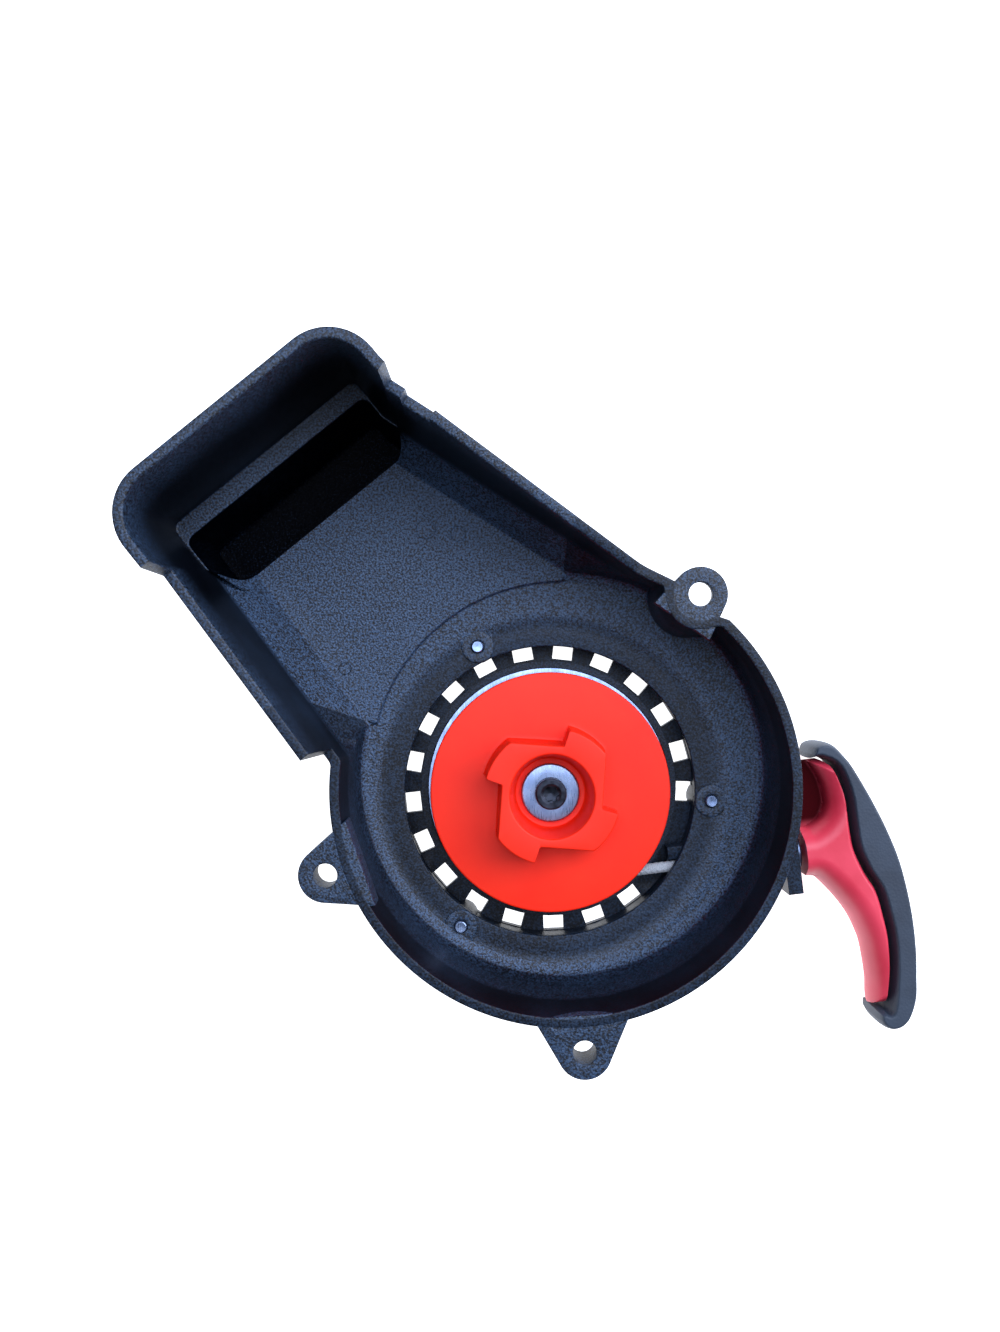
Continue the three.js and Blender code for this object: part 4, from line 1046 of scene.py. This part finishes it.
def braid(path, radius, per_turn=6.2, count=64):
    """A braided cord along a path of points: two families of four strands wind round it, one each
    way, and the radius is that of the higher strand, so each goes over and under the other."""
    path = np.asarray(path, float)
    step = np.concatenate([[0], np.cumsum(np.linalg.norm(np.diff(path, axis=0), axis=1))])
    tangent = np.gradient(path, step, axis=0)
    tangent /= np.linalg.norm(tangent, axis=1, keepdims=True)
    up = np.array([0, 0, 1.0])
    side = np.cross(tangent, up)
    side /= np.linalg.norm(side, axis=1, keepdims=True)
    normal = np.cross(side, tangent)
    turn = np.linspace(0, FULL, count, endpoint=False)
    advance = (step / per_turn * FULL)[:, None]
    one, two = 2 * (turn + advance), 2 * (turn - advance)
    over = 0.5 + 0.5 * np.sin(one) * np.sin(two)
    first, second = np.abs(np.cos(one)), np.abs(np.cos(two))
    height = np.maximum(first * (0.7 + 0.3 * over), second * (1.0 - 0.3 * over))
    rho = radius * (0.84 + 0.16 * height)
    ends = np.minimum(step, step[-1] - step)
    rho = rho * np.sqrt(np.clip(ends / 0.6, 0.04, 1))[:, None]
    outward = np.cos(turn)[:, None] * side[:, None] + np.sin(turn)[:, None] * normal[:, None]
    return capped(path[:, None] + rho[..., None] * outward, path[0], path[-1])


def on_rope(along, across=0.0, up=0.0):
    """A point by its distance along the rope's pulled line, across it and above it."""
    angle = math.radians(ROPE_ANGLE)
    c, s = math.cos(angle), math.sin(angle)
    x = ROPE_PULL_R * s + along * c - across * s
    y = -ROPE_PULL_R * c + along * s + across * c
    return np.array([x, y, ROPE_Z + up])


def from_rope(points, at):
    """From a frame on the rope's line, along it, across it and up, to the part's."""
    along = on_rope(1.0) - on_rope(0)
    across = on_rope(0, 1.0) - on_rope(0)
    up = np.array([0, 0, 1.0])
    return on_rope(at) + points[:, :1] * along + points[:, 1:2] * across + points[:, 2:] * up


def straight_rope():
    along = np.linspace(ROPE_START - RUN_LEAD_IN, KNOT_START - 0.1, 420)
    path = on_rope(0)[None] + (on_rope(1.0) - on_rope(0))[None] * along[:, None]
    return braid(path, ROPE_R, count=48)


rope = put("braided_rope_run", straight_rope(), CORD, None, ["rope_run"], "rope", sharp=80.0)
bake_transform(rope)


def wound_rope():
    """The rope's turns on the reel: two turns and a half up the groove on its core, then as many
    down again over them, laid as one helix."""
    low, high = GROOVE_Z + ROPE_R + 0.15, GROOVE_TOP_Z - ROPE_R - 0.15
    turns = 2.5
    t = np.linspace(0, 1, 700)
    start = math.radians(ROPE_ANGLE - 90)
    lead = REEL_CORE_R + ROPE_R + 0.1
    inner_z = low + (high - low) * smoothstep(t)
    outer_z = high + (ROPE_Z - high) * smoothstep(t)
    angle = np.concatenate([-t[::-1] * turns - turns, -(1 - t[1:]) * turns]) * FULL + start
    z = np.concatenate([inner_z, outer_z[1:]])
    climb = smoothstep((np.arange(len(z)) - 640) / 110)
    radius = lead + (WINDING_R - ROPE_R - 0.05 - lead) * climb
    return braid(polar(radius, angle, z), ROPE_R, count=24)


put("rope_turns_on_reel", wound_rope(), CORD, "reel", ["rope_winding"], "rope", sharp=80.0)


def eyelet():
    """Flared guide ring in the outlet's mouth, turned round the rope's line."""
    back, front = OUTLET_FACE - 3.9, OUTLET_FACE + 1.2
    seat = OUTLET_FACE + 0.05
    profile = [(1.95, back), (1.95, front), (4.8, front), (4.8, seat), (3.25, seat), (3.25, back)]
    points, faces = turned(profile, [0.3, 0.9, 0.5, 0.1, 0.1, 0.2], 96, 5)
    return from_rope(points[:, [2, 0, 1]], 0), faces


put("flared_eyelet", eyelet(), ZINC, "housing", ["rope_eyelet"], "steel")

# ---- handle


def curve(points, count):
    """Smooth curve through points: cubic through each pair with slopes from the neighbours."""
    points = np.array(points, float)
    padded_points = np.vstack([2 * points[0] - points[1], points, 2 * points[-1] - points[-2]])
    t = np.linspace(0, len(points) - 1 - 1e-9, count)
    i = t.astype(int)
    f = (t - i)[:, None]
    a, b, c, d = (padded_points[i + k] for k in range(4))
    return 0.5 * (2 * b + (c - a) * f + (2 * a - 5 * b + 4 * c - d) * f**2 + (3 * b - a - 3 * c + d) * f**3)


def distance_to(points, outline):
    """Least distance from each point to a closed outline of short sides."""
    near = np.full(points.shape[:-1], 1e3)
    start, end = outline, np.roll(outline, -1, axis=0)
    for k in range(0, len(outline), 40):
        a, b = start[k : k + 40], end[k : k + 40]
        side = b - a
        reach = ((points[..., None, :] - a) * side).sum(-1) / np.maximum((side**2).sum(-1), 1e-9)
        foot = a + np.clip(reach, 0, 1)[..., None] * side
        near = np.minimum(near, np.linalg.norm(points[..., None, :] - foot, axis=-1).min(-1))
    return near


def cushion(first, second, half, edges, web=None, columns=64):
    """A body between two curves in the handle's plane, symmetric above and below it. From each
    outline its half thickness grows inward as a superellipse over the edge's width, then stays; the
    least of them counts. A web gives the least half thickness, and where it lies."""
    t = 0.5 - 0.5 * np.cos(np.linspace(0, np.pi, columns))
    flat = first[:, None] * (1 - t[:, None]) + second[:, None] * t[:, None]
    height = np.full(flat.shape[:-1], half)
    for outline, edge, power in edges:
        inward = np.clip(distance_to(flat, outline) / edge, 0, 1)
        height = np.minimum(height, half * (1 - (1 - inward) ** power) ** (1 / power))
    if web is not None:
        outside, least = web(flat)
        height = np.where(outside, 0, height)
        height = np.maximum(height, least)
    height = np.maximum(height, 0.5)
    top = np.concatenate([flat, height[..., None]], -1)
    bottom = np.concatenate([flat, -height[..., None]], -1)[:, ::-1]
    loop = np.concatenate([top, bottom], axis=1)
    rows, width = loop.shape[:2]
    i = np.arange(columns - 1)
    cap = np.stack([i, i + 1, width - 2 - i, width - 1 - i], -1)
    faces = [grid_quads(rows, width, False, True), cap[:, ::-1], cap + (rows - 1) * width]
    return loop.reshape(-1, 3), faces


SEAM_LINE = [
    (6.6, 24.9), (8.9, 23.6), (10.5, 21.7), (11.9, 17.6), (12.7, 13.2), (12.8, 6.6), (13.2, 0.0),
    (15.2, -6.4), (17.7, -11.8), (18.9, -18.4), (19.5, -25.4), (18.9, -34.0), (16.9, -43.4),
]
CORE_INNER = [
    (4.4, 24.3), (6.9, 19.0), (7.6, 14.0), (7.1, 11.0), (5.4, 8.6), (2.6, 6.9), (0.0, 6.4), (0.0, 3.2),
    (0.0, 0.0), (0.0, -3.2), (0.0, -6.4), (2.6, -7.2), (5.6, -10.6), (8.6, -14.9), (10.9, -19.2),
    (12.4, -23.6), (13.3, -27.8), (13.7, -36.2), (13.3, -41.0), (13.2, -44.5),
]
GRIP_OUTER = [
    (4.4, 26.6), (5.6, 28.8), (8.0, 29.4), (10.8, 28.4), (13.4, 25.2), (15.5, 21.7), (19.3, 13.0),
    (22.5, 4.2), (24.8, -4.3), (26.0, -13.0), (26.5, -21.1), (26.3, -29.4), (25.6, -36.0),
    (24.8, -41.7), (22.6, -46.8), (20.0, -49.2), (17.0, -49.7), (14.6, -48.4), (13.6, -46.4),
]
GRIP_INNER = [
    (4.5, 25.2), (5.6, 25.4), (6.9, 25.3), (9.4, 24.0), (11.1, 22.0), (12.5, 17.8), (13.2, 13.2), (13.3, 6.6),
    (13.7, 0.1), (15.7, -6.2), (18.2, -11.6), (19.4, -18.4), (20.0, -25.4), (19.4, -34.0), (17.4, -43.9),
    (15.6, -44.1), (13.9, -44.2),
]


def handle_core():
    """The core: a neck that the rope enters widens into two arms; edges round over six millimetres."""
    y = np.unique(np.concatenate([np.linspace(-43.4, 24.6, 150), np.linspace(-9, 9, 60)]))[::-1]
    inner, seam = curve(CORE_INNER, 800), curve(SEAM_LINE, 400)
    order = np.argsort(inner[:, 1])
    first = np.stack([np.interp(y, inner[order, 1], inner[order, 0]), y], -1)
    order = np.argsort(seam[:, 1])
    second = np.stack([np.interp(y, seam[order, 1], seam[order, 0]), y], -1)
    neck = np.abs(first[:, 1]) < NECK_R + 0.2
    rim = first.copy()
    rim[:, 0] = np.where(neck, -12.0, rim[:, 0])
    back = second + np.array([14.0, 0])
    filled = smoothstep((y - 5.0) / 2.0) * WEB_EDGE
    first[:, 0] = np.where(y > 5.0, np.minimum(first[:, 0], filled), first[:, 0])

    def web(flat):
        outside = flat[..., 0] < rim[:, None, 0]
        return outside, WEB_HALF * (flat[..., 1] > 5.5)

    inner_edge = (np.vstack([rim, back[::-1]]), 6.0, 2.0)
    seam_edge = (np.vstack([second, second[::-1] - np.array([60.0, 0])]), 1.6, 2.5)
    points, faces = cushion(first, second, CORE_THICK / 2, [inner_edge, seam_edge], web)
    inside_x = np.interp(points[:, 1], y[::-1], rim[::-1, 0])
    # Painted shade on the web behind the upper arm, strongest by the arm's inner edge.
    deep = smoothstep((inside_x + 1.6 - points[:, 0]) / 2.4) * smoothstep((points[:, 1] - 5.0) / 4.0)
    return (from_rope(points, NECK_FACE), faces), deep


def handle_grip():
    """The grip: a rubber back that wraps round both ends of the core, with flat faces and rounded
    edges."""
    outer, inner = curve(GRIP_OUTER, 220), curve(GRIP_INNER, 220)
    edges = [(np.vstack([inner, outer[::-1]]), 1.5, 2.6)]
    points, faces = cushion(inner, outer, GRIP_THICK / 2, edges)
    return from_rope(points, NECK_FACE), faces


core, deep = handle_core()
# The core carries the web's painted shade as an attribute.
put("handle_core_moulding", core, HANDLE_RED, "handle", ["handle_core"], "handle_red", sharp=50.0, deep=deep)
put("handle_grip_moulding", handle_grip(), RUBBER, "handle", ["handle_grip"], "grip_rubber", sharp=50.0)

# ---- the housing


def moulded_copy(node_name, name, material, body, width, grain):
    """The CAD node's own mesh, its corners merged, with its edges broken by a bevel."""
    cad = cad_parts[node_name]
    mesh = cad.data.copy()
    mesh.transform(cad.matrix_world)
    work = bmesh.new()
    work.from_mesh(mesh)
    bmesh.ops.remove_doubles(work, verts=work.verts, dist=0.002 * MM)
    bmesh.ops.dissolve_limit(work, angle_limit=math.radians(1), verts=work.verts, edges=work.edges)
    work.to_mesh(mesh)
    work.free()
    mesh.materials.clear()
    mesh.materials.append(material)
    layer = mesh.attributes.new("grain", "FLOAT", "POINT")
    layer.data.foreach_set("value", np.full(len(mesh.vertices), grain, np.float32))
    piece = add_object(name, mesh)
    bevel = piece.modifiers.new("edges", "BEVEL")
    bevel.width = width * MM
    bevel.segments = 2
    bevel.limit_method = "ANGLE"
    bevel.angle_limit = math.radians(38)
    bevel.harden_normals = False
    mesh.shade_smooth()
    mesh.set_sharp_from_angle(angle=math.radians(35))
    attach(piece, body)
    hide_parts(node_name)
    return piece


moulded_copy("recoil_housing", "starter_housing", BLACK, "housing", 0.25, 0.25)

# ---- camera, light and floor

CAMERA_X = -13.5
CAMERA_Y = 33.875
CAMERA_Z = FLANGE_Z + 300.0
LENS = 1200 * 36 / 1332

camera_data = bpy.data.cameras.new("camera")
camera_data.lens = LENS
camera_data.sensor_fit = "AUTO"
camera_data.sensor_width = 36
camera_data.clip_start = 0.005
camera = add_object("camera", camera_data)
camera.location = (CAMERA_X * MM, CAMERA_Y * MM, CAMERA_Z * MM)
bpy.context.scene.camera = camera


def area_light(name, place, aim, size, power, colour):
    """A square soft light at a place in metres that shines at another place."""
    data = bpy.data.lights.new(name, "AREA")
    data.shape = "RECTANGLE"
    data.size, data.size_y = size
    data.energy = power
    data.color = linear(colour)[:3]
    light = add_object(name, data)
    light.location = place
    direction = np.array(aim) - np.array(place)
    yaw = math.atan2(direction[1], direction[0])
    pitch = math.acos(-direction[2] / np.linalg.norm(direction))
    light.rotation_euler = (0, -pitch, yaw)
    light.rotation_mode = "XYZ"
    return light


area_light("overhead", (-0.08, 0.36, 1.1), (0, 0, 0.03), (0.85, 0.85), 12.0, "#d3dff6")
area_light("window", (0.6, 0.36, 0.62), (0, 0.02, 0.03), (0.8, 0.8), 13.0, "#e0e8fa")

world = bpy.data.worlds.new("studio")
world.use_nodes = True
backdrop = world.node_tree.nodes["Background"]
backdrop.inputs["Color"].default_value = linear("#f2f5fa")
path_kind = node(world.node_tree, "LightPath")
brightness = node(world.node_tree, "MapRange", {3: 0.16, 4: 1.2}, i0=path_kind.outputs["Is Camera Ray"])
world.node_tree.links.new(brightness.outputs[0], backdrop.inputs["Strength"])
bpy.context.scene.world = world
bpy.context.scene.view_settings.view_transform = "Standard"

glow = {"Emission_Color": linear("#ffffff"), "Emission_Strength": 1.2}
floor_material, _, _ = new_material("white_table", "#ffffff", Roughness=0.7, **glow)
half = 3.0
mesh = bpy.data.meshes.new("floor")
mesh.from_pydata([(-half, -half, 0), (half, -half, 0), (half, half, 0), (-half, half, 0)], [], [(0, 1, 2, 3)])
mesh.materials.append(floor_material)
floor = add_object("floor", mesh)

# ---- CAD nodes that stay

KEPT = {
    "recoil_spring": STRIP,
    "bearing_sleeve": ZINC,
    "thrust_washer": ZINC,
    "post_insert": BRASS,
    "reel_knot": CORD,
    "knot_washer": ZINC,
    "handle_knot": CORD,
}
for name, material in KEPT.items():
    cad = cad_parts[name]
    cad.data.materials.clear()
    cad.data.materials.append(material)
